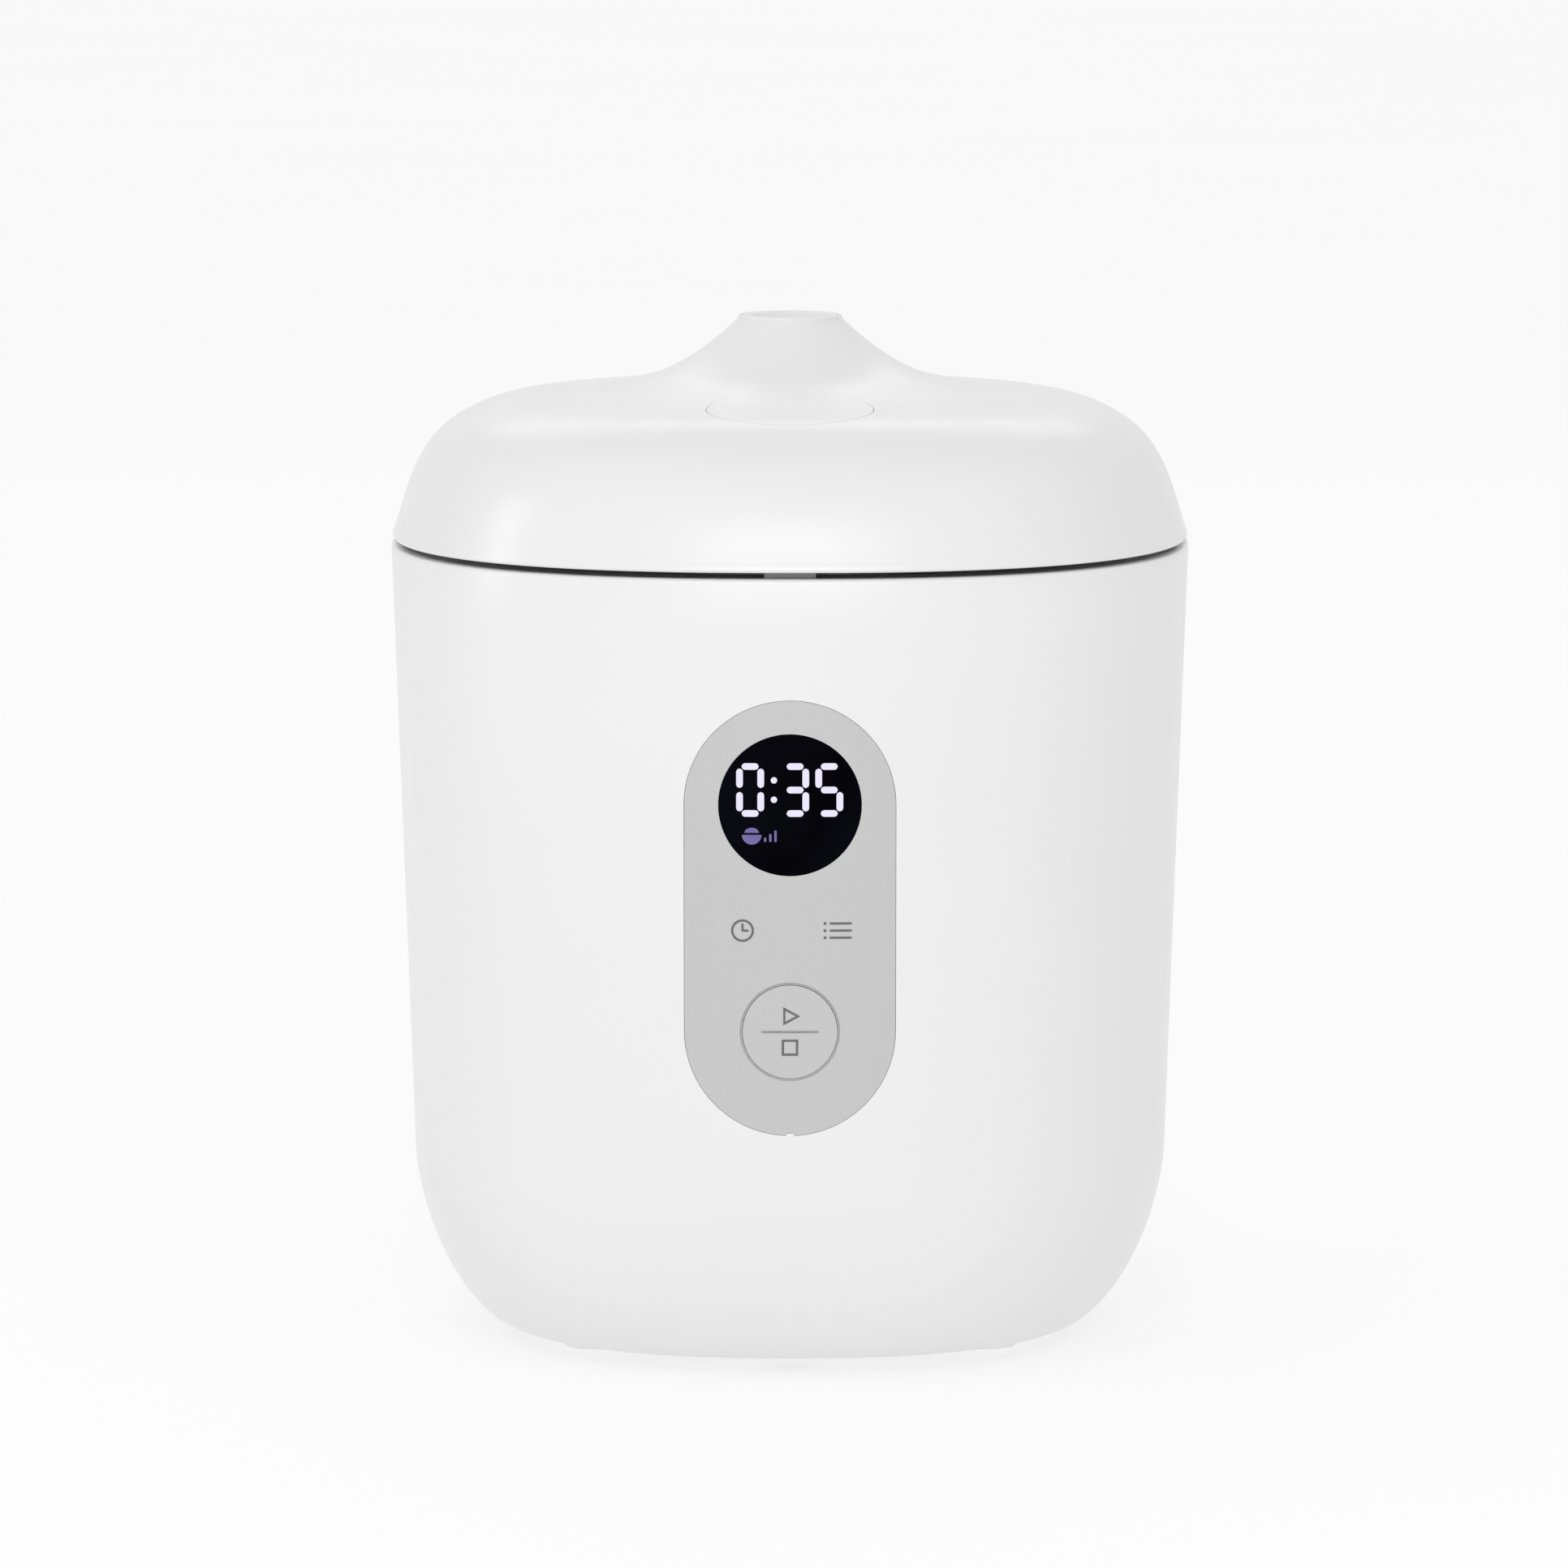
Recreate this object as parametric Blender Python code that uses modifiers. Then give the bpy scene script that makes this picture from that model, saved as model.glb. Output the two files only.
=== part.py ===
"""Small electric rice cooker with a hinged lid, built from separate pieces.

Units are metres. Z is up, the front faces -Y, and the feet stand on Z = 0.
Run with: blender --background --python part.py
"""
import math

import bmesh
import bpy
from mathutils import Matrix, Vector

# Clearances
GAP = 0.0003
FIT = 0.0004

# Outer body: a rounded square in plan that tapers down to a rounded bottom corner
PLAN_POWER = 2.42
BODY_HALF_WIDTH = 0.0800
BODY_TAPER = 0.0042
CORNER_HEIGHT = 0.0348
CORNER_DEPTH = 0.0180
CORNER_POWER = 1.242
BODY_WALL = 0.0024
BODY_STEPS = 32

# Feet and base
FOOT_HEIGHT = 0.0027
FOOT_RADIUS = 0.0113
FOOT_TAPER = 0.0023
FOOT_POWER = 3.2
FOOT_X = 0.0365
FOOT_Y = 0.0255
BASE_THICKNESS = 0.0025
BASE_LIP = 0.0018
BASE_SCREW_INSET = 0.0050
SCREW_HEAD_RADIUS = 0.0029
SCREW_HEAD_HEIGHT = 0.0010
SCREW_RADIUS = 0.0014
SCREW_LENGTH = 0.0098
BOSS_RADIUS = 0.0040
BOSS_HEIGHT = 0.0112
VENT_COUNT = 5
VENT_PITCH = 0.0080
VENT_WIDTH = 0.0030
VENT_LENGTH = 0.0300

# Lid outline: a short cone in the middle of a shallow dome
SEAM_GAP = 0.0012
LID_WALL = 0.0022
VENT_RADIUS = 0.01045
CONE_HEIGHT = 0.0119
CONE_FOOT_RADIUS = 0.0294
DOME_HEIGHT = 0.0312
SHOULDER_HEIGHT = 0.02335
SHOULDER_INSET = 0.0134
CROWN_SLOPE = 13.1
SHOULDER_SLOPE = 29.7
RIM_SLOPE = 70.0
CONE_SLOPE = 46.0
LIP_HEIGHT = 0.0007

# Pot and heating
POT_RADIUS = 0.0580
POT_DEPTH = 0.0902
POT_WALL = 0.0012
POT_CORNER = 0.0140
POT_FLANGE = 0.0058
POT_RIM_DROP = 0.0016
WELL_CLEARANCE = 0.0025
WELL_WALL = 0.0008
WELL_FLANGE = 0.0065
WELL_DEPTH_BELOW_POT = 0.0230
WELL_ABOVE_BOARD = 0.0276
WELL_CORNER = 0.0060
PLATE_RADIUS = 0.0460
PLATE_THICKNESS = 0.0097
SENSOR_RADIUS = 0.0125
SENSOR_SKIRT = 0.0007
SENSOR_HEIGHT = 0.0097
SENSOR_TRAVEL = 0.0015
GUIDE_WALL = 0.0015
GUIDE_BASE_RADIUS = 0.0200
ELEMENT_RADIUS = 0.0340
ELEMENT_TUBE = 0.0033
ELEMENT_GAP_DEGREES = 50.0
LEG_RADIUS = 0.0025
LEG_CIRCLE = 0.0418

# Deck around the pot
DECK_THICKNESS = 0.0020
DECK_DROP = 0.0008
DECK_POT_CLEARANCE = 0.0012
DECK_SKIRT = 0.0045
DECK_SKIRT_WALL = 0.0016

# Control panel
PANEL_BELOW_SEAM = 0.0236
PANEL_WIDTH = 0.0410
PANEL_HEIGHT = 0.0855
DISPLAY_RADIUS = 0.01385
DISPLAY_BELOW_TOP = 0.0204
KEY_RADIUS = 0.0092
KEY_ABOVE_BOTTOM = 0.0205
KEY_TRAVEL = 0.0005
TOUCH_X = 0.0092
TOUCH_RADIUS = 0.0035
BOARD_SETBACK = 0.0062
BOARD_THICKNESS = 0.0014
BOARD_WIDTH = 0.0340
BOARD_POST_RADIUS = 0.0018
BOARD_MARGIN = 0.0045
POST_RISE = 0.0080
POST_ANGLE = 32.0
MODULE_INSET = 0.0025
KEY_STEM_RADIUS = 0.0018
PAD_SETBACK = 0.0012
MODULE_DEPTH = 0.0040
SWITCH_DEPTH = 0.0015
SWITCH_WIDTH = 0.0060

# Power board and inlet
POWER_BOARD = (0.0800, 0.0600, 0.0016)
STANDOFF_HEIGHT = 0.0100
STANDOFF_RADIUS = 0.0030
INLET_WIDTH = 0.0280
INLET_HEIGHT = 0.0180
INLET_DEPTH = 0.0205
INLET_WALL = 0.0030
INLET_Z = 0.0300
INLET_SETBACK = 0.0040
PIN_SPACING = 0.0086
PIN_LENGTH = 0.0100
CABLE_TURN_ABOVE = 0.0047
CABLE_TURN_BELOW = 0.0073

# Hinge
HINGE_INSET = 0.0075
HINGE_ABOVE_SEAM = 0.0070
HOUSING_RADIUS = 0.0097
HOUSING_HALF_LENGTH = 0.0320
NOTCH_CLEARANCE = 0.0005
KNUCKLE_RADIUS = 0.0048
KNUCKLE_X = 0.0150
KNUCKLE_LENGTH = 0.0060
HINGE_PIN_RADIUS = 0.0015
HINGE_PIN_HALF_LENGTH = 0.0290
ARM_OVERLAP = 0.0057

# Lid inside
LINER_THICKNESS = 0.0015
LINER_RIM_THICKNESS = 0.0020
LINER_RECESS = 0.0041
LINER_RECESS_MARGIN = 0.0020
LINER_EDGE_CLEARANCE = 0.0012
INNER_PLATE_MARGIN = 0.0040
INNER_PLATE_THICKNESS = 0.0010
INNER_PLATE_ABOVE_RIM = 0.0022
GASKET_WIDTH = 0.0060
GROMMET_BORE = 0.0030
CHIMNEY_WALL = 0.0020
CAP_GAP = 0.0003
CAP_WALL = 0.0014
CAP_DISH = 0.0034
NECK_LENGTH = 0.0230

# Release button and latch
BUTTON_Y = 0.0430
BUTTON_HALF_WIDTH = 0.0164
BUTTON_HALF_DEPTH = 0.0153
BUTTON_WALL = 0.0020
BUTTON_SKIRT = 0.0100
BUTTON_TRAVEL = 0.0025
STEM_Y = 0.0500
STEM_RADIUS = 0.0020
LATCH_AHEAD = 0.0023
LATCH_RISE = 0.0050
LEVER_RISE = 0.0058
LATCH_HALF_WIDTH = 0.0050
LATCH_PIN_RADIUS = 0.0012
KEEPER_HALF_WIDTH = 0.0070
KEEPER_DEPTH = 0.0037
KEEPER_THICKNESS = 0.0011
KEEPER_BEHIND_EDGE = 0.0020
HOOK_THICKNESS = 0.0018
HOOK_NOSE = 0.0012
HOOK_CLEARANCE = 0.0004

# Heights of the stack from the feet up: board, well, pot, body rim and lid
BODY_BOTTOM_Z = FOOT_HEIGHT + GAP
CORNER_Z = BODY_BOTTOM_Z + CORNER_HEIGHT
BASE_TOP_Z = BODY_BOTTOM_Z + BASE_THICKNESS
BOARD_Z = BASE_TOP_Z + STANDOFF_HEIGHT + GAP
BOARD_TOP_Z = BOARD_Z + POWER_BOARD[2]
WELL_BOTTOM_Z = BOARD_TOP_Z + WELL_ABOVE_BOARD
POT_BOTTOM_Z = WELL_BOTTOM_Z + WELL_DEPTH_BELOW_POT
POT_TOP_Z = POT_BOTTOM_Z + POT_DEPTH
BODY_TOP_Z = POT_TOP_Z + POT_RIM_DROP
DECK_TOP_Z = BODY_TOP_Z - DECK_DROP
DECK_BOTTOM_Z = DECK_TOP_Z - DECK_THICKNESS
WELL_TOP_Z = DECK_BOTTOM_Z - GAP
PLATE_TOP_Z = POT_BOTTOM_Z - GAP
PLATE_BOTTOM_Z = PLATE_TOP_Z - PLATE_THICKNESS
GUIDE_BASE_Z = WELL_BOTTOM_Z - WELL_WALL - GAP
LID_RIM_Z = BODY_TOP_Z + SEAM_GAP
CONE_FOOT_Z = LID_RIM_Z + DOME_HEIGHT
LID_TOP_Z = CONE_FOOT_Z + CONE_HEIGHT + LIP_HEIGHT

# Radii of what fits inside what
WELL_RADIUS = POT_RADIUS + WELL_CLEARANCE
DECK_BORE = POT_RADIUS + POT_FLANGE + DECK_POT_CLEARANCE
SENSOR_HOLE = SENSOR_RADIUS + 0.0010
GUIDE_RADIUS = SENSOR_RADIUS - SENSOR_SKIRT - GAP
VENT_BORE = VENT_RADIUS - 0.00055
CAP_RADIUS = VENT_BORE - CAP_GAP
NECK_OUTER = VENT_BORE + CHIMNEY_WALL
NECK_BOTTOM_Z = LID_TOP_Z - NECK_LENGTH
INNER_PLATE_Z = LID_RIM_Z + INNER_PLATE_ABOVE_RIM
INNER_PLATE_RADIUS = POT_RADIUS + INNER_PLATE_MARGIN
LINER_RIM_Z = LID_RIM_Z + GAP
LINER_FLOOR_Z = LINER_RIM_Z + LINER_RECESS
LINER_TOP_Z = LINER_FLOOR_Z + LINER_THICKNESS
LINER_RECESS_RADIUS = INNER_PLATE_RADIUS + LINER_RECESS_MARGIN

# Panel: the touch row lies halfway between the display and the key
PANEL_TOP_Z = BODY_TOP_Z - PANEL_BELOW_SEAM
PANEL_BOTTOM_Z = PANEL_TOP_Z - PANEL_HEIGHT
PANEL_MIDDLE_Z = (PANEL_TOP_Z + PANEL_BOTTOM_Z) / 2
DISPLAY_Z = PANEL_TOP_Z - DISPLAY_BELOW_TOP
KEY_Z = PANEL_BOTTOM_Z + KEY_ABOVE_BOTTOM
TOUCH_Z = (DISPLAY_Z - DISPLAY_RADIUS + KEY_Z + KEY_RADIUS) / 2
MODULE_HALF = DISPLAY_RADIUS - MODULE_INSET

# Hinge and latch axes
HINGE_Y = BODY_HALF_WIDTH - HINGE_INSET
HINGE_Z = LID_RIM_Z + HINGE_ABOVE_SEAM
KEEPER_FRONT = -(DECK_BORE + KEEPER_BEHIND_EDGE + KEEPER_DEPTH)
KEEPER_TOP_Z = DECK_BOTTOM_Z - GAP
LATCH_Y = KEEPER_FRONT - LATCH_AHEAD
LATCH_Z = LID_RIM_Z + LATCH_RISE
LEVER_TOP_Z = LATCH_Z + LEVER_RISE

PARTS = None
CUTTERS = None


# ---------------------------------------------------------------- scene helpers

def new_collection(name):
    collection = bpy.data.collections.new(name)
    bpy.context.scene.collection.children.link(collection)
    return collection


def make_material(name, color, roughness, metallic=0.0):
    material = bpy.data.materials.new(name)
    material.use_nodes = True
    shader = material.node_tree.nodes["Principled BSDF"]
    shader.inputs["Base Color"].default_value = (*color, 1.0)
    shader.inputs["Roughness"].default_value = roughness
    shader.inputs["Metallic"].default_value = metallic
    return material


def add_object(name, mesh, material=None):
    """Link a mesh as a visible part, or as a hidden cutter when it has no material."""
    part = bpy.data.objects.new(name, mesh)
    if material is None:
        CUTTERS.objects.link(part)
        part.hide_render = True
        part.display_type = "WIRE"
    else:
        PARTS.objects.link(part)
        mesh.materials.clear()
        mesh.materials.append(material)
        mesh.shade_smooth()
        mesh.set_sharp_from_angle(angle=math.radians(35))
    return part


def evaluated_mesh(part):
    """Return the object's shape with its modifiers applied, welded and facing out."""
    bpy.context.view_layer.update()
    depsgraph = bpy.context.evaluated_depsgraph_get()
    mesh = bpy.data.meshes.new_from_object(part.evaluated_get(depsgraph))
    shape = bmesh.new()
    shape.from_mesh(mesh)
    bmesh.ops.remove_doubles(shape, verts=shape.verts, dist=1e-6)
    bmesh.ops.recalc_face_normals(shape, faces=shape.faces)
    shape.to_mesh(mesh)
    shape.free()
    return mesh


def boolean(part, other, operation):
    modifier = part.modifiers.new(operation.lower() + "_" + other.name, "BOOLEAN")
    modifier.operation = operation
    modifier.object = other


def cut(part, *others):
    for other in others:
        boolean(part, other, "DIFFERENCE")


def fuse(part, *others):
    for other in others:
        boolean(part, other, "UNION")


def keep_inside(part, other):
    boolean(part, other, "INTERSECT")


def round_edges(part, width, segments=2):
    modifier = part.modifiers.new("round_edges", "BEVEL")
    modifier.width = width
    modifier.segments = segments
    modifier.limit_method = "ANGLE"
    modifier.angle_limit = math.radians(40)


# ---------------------------------------------------------------- shape helpers

def plan_factor(angle, power):
    """How far the plan outline reaches at an angle, against its half width."""
    reach = abs(math.cos(angle)) ** power + abs(math.sin(angle)) ** power
    return reach ** (-1.0 / power)


def turned(name, profile, material=None, steps=BODY_STEPS, closed=True, power_at=None):
    """Spin a (radius, height) profile about Z, then press its plan into a rounded square."""
    mesh = bpy.data.meshes.new(name)
    count = len(profile)
    edges = [(index, index + 1) for index in range(count - 1)]
    if closed:
        edges.append((count - 1, 0))
    mesh.from_pydata([(radius, 0.0, height) for radius, height in profile], edges, [])
    blank = bpy.data.objects.new(name + "_profile", mesh)
    CUTTERS.objects.link(blank)
    screw = blank.modifiers.new("turn", "SCREW")
    screw.angle = math.tau
    screw.steps = steps
    screw.render_steps = steps
    screw.use_merge_vertices = True
    screw.merge_threshold = 0.00001
    solid = evaluated_mesh(blank)
    bpy.data.objects.remove(blank)
    if power_at is not None:
        for vertex in solid.vertices:
            radius = math.hypot(vertex.co.x, vertex.co.y)
            angle = math.atan2(vertex.co.y, vertex.co.x)
            factor = plan_factor(angle, power_at(radius))
            vertex.co.x *= factor
            vertex.co.y *= factor
    return add_object(name, solid, material)


def prism(name, outline, axis, start, end, material=None):
    """Extrude a flat outline along an axis.

    The outline is (y, z) along X, (x, z) along Y and (x, y) along Z.
    """
    curve = bpy.data.curves.new(name, "CURVE")
    curve.dimensions = "2D"
    curve.fill_mode = "BOTH"
    curve.extrude = abs(end - start) / 2
    spline = curve.splines.new("POLY")
    spline.points.add(len(outline) - 1)
    for point, (first, second) in zip(spline.points, outline):
        point.co = (first, second, 0.0, 1.0)
    spline.use_cyclic_u = True
    middle = (start + end) / 2
    if axis == "X":
        turn = Matrix(((0, 0, 1, 0), (1, 0, 0, 0), (0, 1, 0, 0), (0, 0, 0, 1)))
        place = Matrix.Translation((middle, 0, 0))
    elif axis == "Y":
        turn = Matrix.Rotation(math.pi / 2, 4, "X")
        place = Matrix.Translation((0, middle, 0))
    else:
        turn = Matrix.Identity(4)
        place = Matrix.Translation((0, 0, middle))
    blank = bpy.data.objects.new(name + "_outline", curve)
    CUTTERS.objects.link(blank)
    blank.matrix_world = place @ turn
    solid = evaluated_mesh(blank)
    bpy.data.objects.remove(blank)
    part = add_object(name, solid, material)
    part.matrix_world = place @ turn
    return part


def box(name, low, high, material=None):
    low = Vector(low)
    high = Vector(high)
    shape = bmesh.new()
    bmesh.ops.create_cube(shape, size=1.0)
    bmesh.ops.scale(shape, vec=high - low, verts=shape.verts)
    mesh = bpy.data.meshes.new(name)
    shape.to_mesh(mesh)
    shape.free()
    part = add_object(name, mesh, material)
    part.location = (low + high) / 2
    return part


def cylinder(name, start, end, radius, material=None, segments=16):
    """A round bar between two points."""
    start = Vector(start)
    end = Vector(end)
    shape = bmesh.new()
    bmesh.ops.create_cone(shape, cap_ends=True, segments=segments, radius1=radius,
                          radius2=radius, depth=(end - start).length)
    mesh = bpy.data.meshes.new(name)
    shape.to_mesh(mesh)
    shape.free()
    part = add_object(name, mesh, material)
    part.location = (start + end) / 2
    part.rotation_mode = "QUATERNION"
    part.rotation_quaternion = Vector((0, 0, 1)).rotation_difference(end - start)
    return part


def wire(name, points, radius, material, resolution=2):
    """A round wire through points, with flat ends."""
    curve = bpy.data.curves.new(name, "CURVE")
    curve.dimensions = "3D"
    curve.bevel_depth = radius
    curve.bevel_resolution = resolution
    curve.use_fill_caps = True
    spline = curve.splines.new("POLY")
    spline.points.add(len(points) - 1)
    for point, place in zip(spline.points, points):
        point.co = (*place, 1.0)
    part = bpy.data.objects.new(name, curve)
    PARTS.objects.link(part)
    curve.materials.append(material)
    return part


def coil(name, centre, radius, length, turns, wire_radius, material, axis="Z"):
    """A coil spring that starts at centre and runs along an axis."""
    per_turn = 7
    count = turns * per_turn
    points = []
    for index in range(count + 1):
        angle = math.tau * index / per_turn
        across = radius * math.cos(angle)
        along = radius * math.sin(angle)
        rise = length * index / count
        if axis == "Z":
            offset = Vector((across, along, rise))
        else:
            offset = Vector((rise, across, along))
        points.append(Vector(centre) + offset)
    return wire(name, points, wire_radius, material, resolution=1)


def arc(centre, radius, start, end, count):
    """Points on a circle between two angles in degrees."""
    points = []
    for index in range(count + 1):
        angle = math.radians(start + (end - start) * index / count)
        points.append((centre[0] + radius * math.cos(angle), centre[1] + radius * math.sin(angle)))
    return points


def oval(centre, half_width, half_height, count=24):
    return [(centre[0] + half_width * x, centre[1] + half_height * y)
            for x, y in arc((0, 0), 1.0, 0, 360 - 360 / count, count - 1)]


def capsule(centre_z, width, height, segments=10):
    radius = width / 2
    rise = height / 2 - radius
    upper = arc((0, centre_z + rise), radius, 0, 180, segments)
    lower = arc((0, centre_z - rise), radius, 180, 360, segments)
    return upper + lower


def bezier(start, start_handle, end_handle, end, count):
    points = []
    for index in range(count + 1):
        t = index / count
        weights = ((1 - t) ** 3, 3 * (1 - t) ** 2 * t, 3 * (1 - t) * t ** 2, t ** 3)
        corners = (start, start_handle, end_handle, end)
        points.append(tuple(sum(w * c[axis] for w, c in zip(weights, corners)) for axis in (0, 1)))
    return points


def ahead(point, slope, distance):
    """The point a distance outward along a line that falls at a slope in degrees."""
    angle = math.radians(slope)
    return (point[0] + distance * math.cos(angle), point[1] - distance * math.sin(angle))


def inset(points, distance):
    """Move an outline that runs outward and down towards its inner side."""
    moved = []
    for index, (radius, height) in enumerate(points):
        before = points[max(index - 1, 0)]
        after = points[min(index + 1, len(points) - 1)]
        run = after[0] - before[0]
        fall = after[1] - before[1]
        size = math.hypot(run, fall)
        moved.append((radius + distance * fall / size, height - distance * run / size))
    return moved


def parent_to(pivot_name, place, parts):
    """Hang moving parts on an empty that stands on their joint's axis."""
    pivot = bpy.data.objects.new(pivot_name, None)
    pivot.location = place
    PARTS.objects.link(pivot)
    bpy.context.view_layer.update()
    for part in parts:
        part.parent = pivot
        part.matrix_parent_inverse = pivot.matrix_world.inverted()
    return pivot


# ---------------------------------------------------------------- body outline

def body_half_width(height):
    """Half width of the body's straight, tapered wall."""
    return BODY_HALF_WIDTH - BODY_TAPER * (BODY_TOP_Z - height) / (BODY_TOP_Z - CORNER_Z)


def body_power(radius):
    return PLAN_POWER


def corner_points(wide, narrow, top, bottom, count):
    """A soft bottom corner from the wall (wide, top) to the flat (narrow, bottom)."""
    points = []
    for index in range(count + 1):
        angle = math.radians(90.0 * index / count)
        across = max(math.cos(angle), 0.0) ** CORNER_POWER
        down = max(math.sin(angle), 0.0) ** CORNER_POWER
        points.append((narrow + (wide - narrow) * across, top - (top - bottom) * down))
    return points


def body_shell(name, material=None):
    """The body's wall as an open-topped shell with a wide hole in its bottom."""
    wall_foot = body_half_width(CORNER_Z)
    flat = wall_foot - CORNER_DEPTH
    outer = [(BODY_HALF_WIDTH - 0.0005, BODY_TOP_Z), (BODY_HALF_WIDTH, BODY_TOP_Z - 0.0005)]
    outer += corner_points(wall_foot, flat, CORNER_Z, BODY_BOTTOM_Z, 9)
    inner = [(flat - BASE_LIP, BODY_BOTTOM_Z)]
    inner += corner_points(wall_foot - BODY_WALL, flat - BASE_LIP, CORNER_Z,
                           BODY_BOTTOM_Z + BODY_WALL, 7)[::-1]
    inner.append((BODY_HALF_WIDTH - BODY_WALL, BODY_TOP_Z))
    return turned(name, outer + inner, material, power_at=body_power)


def base_half_width():
    return body_half_width(CORNER_Z) - CORNER_DEPTH - BASE_LIP - FIT


def base_screw_places():
    reach = base_half_width() - BASE_SCREW_INSET + 0.0004
    return [(reach, 0.0), (0.0, reach), (-reach, 0.0), (0.0, -reach)]


# ---------------------------------------------------------------- body pieces

def make_outer_body(material):
    body = body_shell("outer_body", material)
    opening = prism("panel_opening", capsule(PANEL_MIDDLE_Z, PANEL_WIDTH + 2 * GAP, PANEL_HEIGHT + 2 * GAP),
                    "Y", -BODY_HALF_WIDTH - 0.01, -BODY_HALF_WIDTH / 2)
    window = box("inlet_window",
                 (-INLET_WIDTH / 2 - GAP, BODY_HALF_WIDTH / 2, INLET_Z - INLET_HEIGHT / 2 - GAP),
                 (INLET_WIDTH / 2 + GAP, BODY_HALF_WIDTH + 0.01, INLET_Z + INLET_HEIGHT / 2 + GAP))
    cut(body, opening, window)
    boss_bottom = BASE_TOP_Z + GAP
    boss_top = boss_bottom + BOSS_HEIGHT
    wall_reach = body_half_width(CORNER_Z) - CORNER_DEPTH + 0.0048
    for index, (x, y) in enumerate(base_screw_places()):
        label = str(index + 1)
        direction = Vector((x, y, 0)).normalized()
        side = Vector((-direction.y, direction.x, 0)) * 0.0012
        near = Vector((x, y, 0)) - side
        far = direction * wall_reach + side
        low = (min(near.x, far.x), min(near.y, far.y), BASE_TOP_Z + 0.0010)
        high = (max(near.x, far.x), max(near.y, far.y), BASE_TOP_Z + 0.0065)
        rib = box("boss_rib_" + label, low, high)
        boss = cylinder("boss_" + label, (x, y, boss_bottom), (x, y, boss_top), BOSS_RADIUS, segments=14)
        fuse(boss, rib)
        fuse(body, boss)
        hole = cylinder("boss_hole_" + label, (x, y, boss_bottom - 0.001),
                        (x, y, boss_top - 0.0015), SCREW_RADIUS + GAP, segments=10)
        cut(body, hole)
    return body


def make_base(plastic, rubber, steel):
    half = base_half_width()
    plate = turned("base_plate", [(0.0, BASE_TOP_Z), (half, BASE_TOP_Z), (half, BODY_BOTTOM_Z),
                                  (0.0, BODY_BOTTOM_Z)], plastic, closed=False, power_at=body_power)
    board_x, board_y, _ = POWER_BOARD
    for index, (sx, sy) in enumerate(((1, 1), (-1, 1), (-1, -1), (1, -1))):
        x = sx * (board_x / 2 - 0.006)
        y = sy * (board_y / 2 - 0.006)
        post = cylinder("standoff_" + str(index + 1), (x, y, BASE_TOP_Z - 0.0012),
                        (x, y, BASE_TOP_Z + STANDOFF_HEIGHT), STANDOFF_RADIUS, segments=12)
        fuse(plate, post)
    for index in range(VENT_COUNT):
        x = (index - (VENT_COUNT - 1) / 2) * VENT_PITCH
        slot = box("base_vent_" + str(index + 1), (x - VENT_WIDTH / 2, -VENT_LENGTH / 2, 0.0),
                   (x + VENT_WIDTH / 2, VENT_LENGTH / 2, BASE_TOP_Z + 0.001))
        cut(plate, slot)
    screws = []
    head_top = BODY_BOTTOM_Z + 0.0012
    for index, (x, y) in enumerate(base_screw_places()):
        label = str(index + 1)
        recess = cylinder("screw_recess_" + label, (x, y, 0.0), (x, y, head_top + GAP),
                          SCREW_HEAD_RADIUS + GAP, segments=14)
        hole = cylinder("screw_hole_" + label, (x, y, 0.0), (x, y, BASE_TOP_Z + 0.002),
                        SCREW_RADIUS + GAP, segments=12)
        cut(plate, recess, hole)
        screws.append(make_screw("base_screw_" + label, x, y, head_top, 1, steel))
    feet = []
    sole = FOOT_RADIUS - FOOT_TAPER
    profile = [(0.0, FOOT_HEIGHT), (FOOT_RADIUS, FOOT_HEIGHT), (sole + 0.0003, 0.0006),
               (sole, 0.0002), (sole - 0.0006, 0.0), (0.0, 0.0)]
    for index, (sx, sy) in enumerate(((-1, -1), (1, -1), (1, 1), (-1, 1))):
        foot = turned("foot_" + str(index + 1), profile, rubber, steps=20, closed=False,
                      power_at=lambda radius: FOOT_POWER)
        foot.location = (sx * FOOT_X, sy * FOOT_Y, 0.0)
        feet.append(foot)
    return [plate] + screws + feet


def make_screw(name, x, y, head_top, direction, material, length=SCREW_LENGTH):
    """A pan head screw; direction 1 drives upward from its head."""
    head = cylinder(name, (x, y, head_top - direction * SCREW_HEAD_HEIGHT), (x, y, head_top),
                    SCREW_HEAD_RADIUS, material, segments=12)
    shank = cylinder(name + "_shank", (x, y, head_top - direction * SCREW_HEAD_HEIGHT / 2),
                     (x, y, head_top + direction * length), SCREW_RADIUS, segments=8)
    fuse(head, shank)
    return head


def make_deck(material, steel):
    outer = BODY_HALF_WIDTH - BODY_WALL - BODY_TAPER * (DECK_DROP + DECK_THICKNESS + DECK_SKIRT) / (
        BODY_TOP_Z - CORNER_Z) - GAP
    inner = DECK_BORE
    skirt_z = DECK_BOTTOM_Z - DECK_SKIRT
    middle = (inner + outer) / 2
    profile = [(inner, DECK_TOP_Z), (outer, DECK_TOP_Z), (outer, skirt_z),
               (outer - DECK_SKIRT_WALL, skirt_z), (outer - DECK_SKIRT_WALL, DECK_BOTTOM_Z),
               (inner, DECK_BOTTOM_Z)]
    deck = turned("top_deck", profile, material,
                  power_at=lambda radius: PLAN_POWER if radius > middle else 2.0)
    notch = box("latch_notch", (-LATCH_HALF_WIDTH - 0.0025, -BODY_HALF_WIDTH, skirt_z - 0.001),
                (LATCH_HALF_WIDTH + 0.0025, KEEPER_FRONT, BODY_TOP_Z))
    cut(deck, notch)
    keeper = box("latch_keeper", (-KEEPER_HALF_WIDTH, KEEPER_FRONT, KEEPER_TOP_Z - KEEPER_THICKNESS),
                 (KEEPER_HALF_WIDTH, KEEPER_FRONT + KEEPER_DEPTH, KEEPER_TOP_Z), steel)
    return [deck, keeper]


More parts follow.
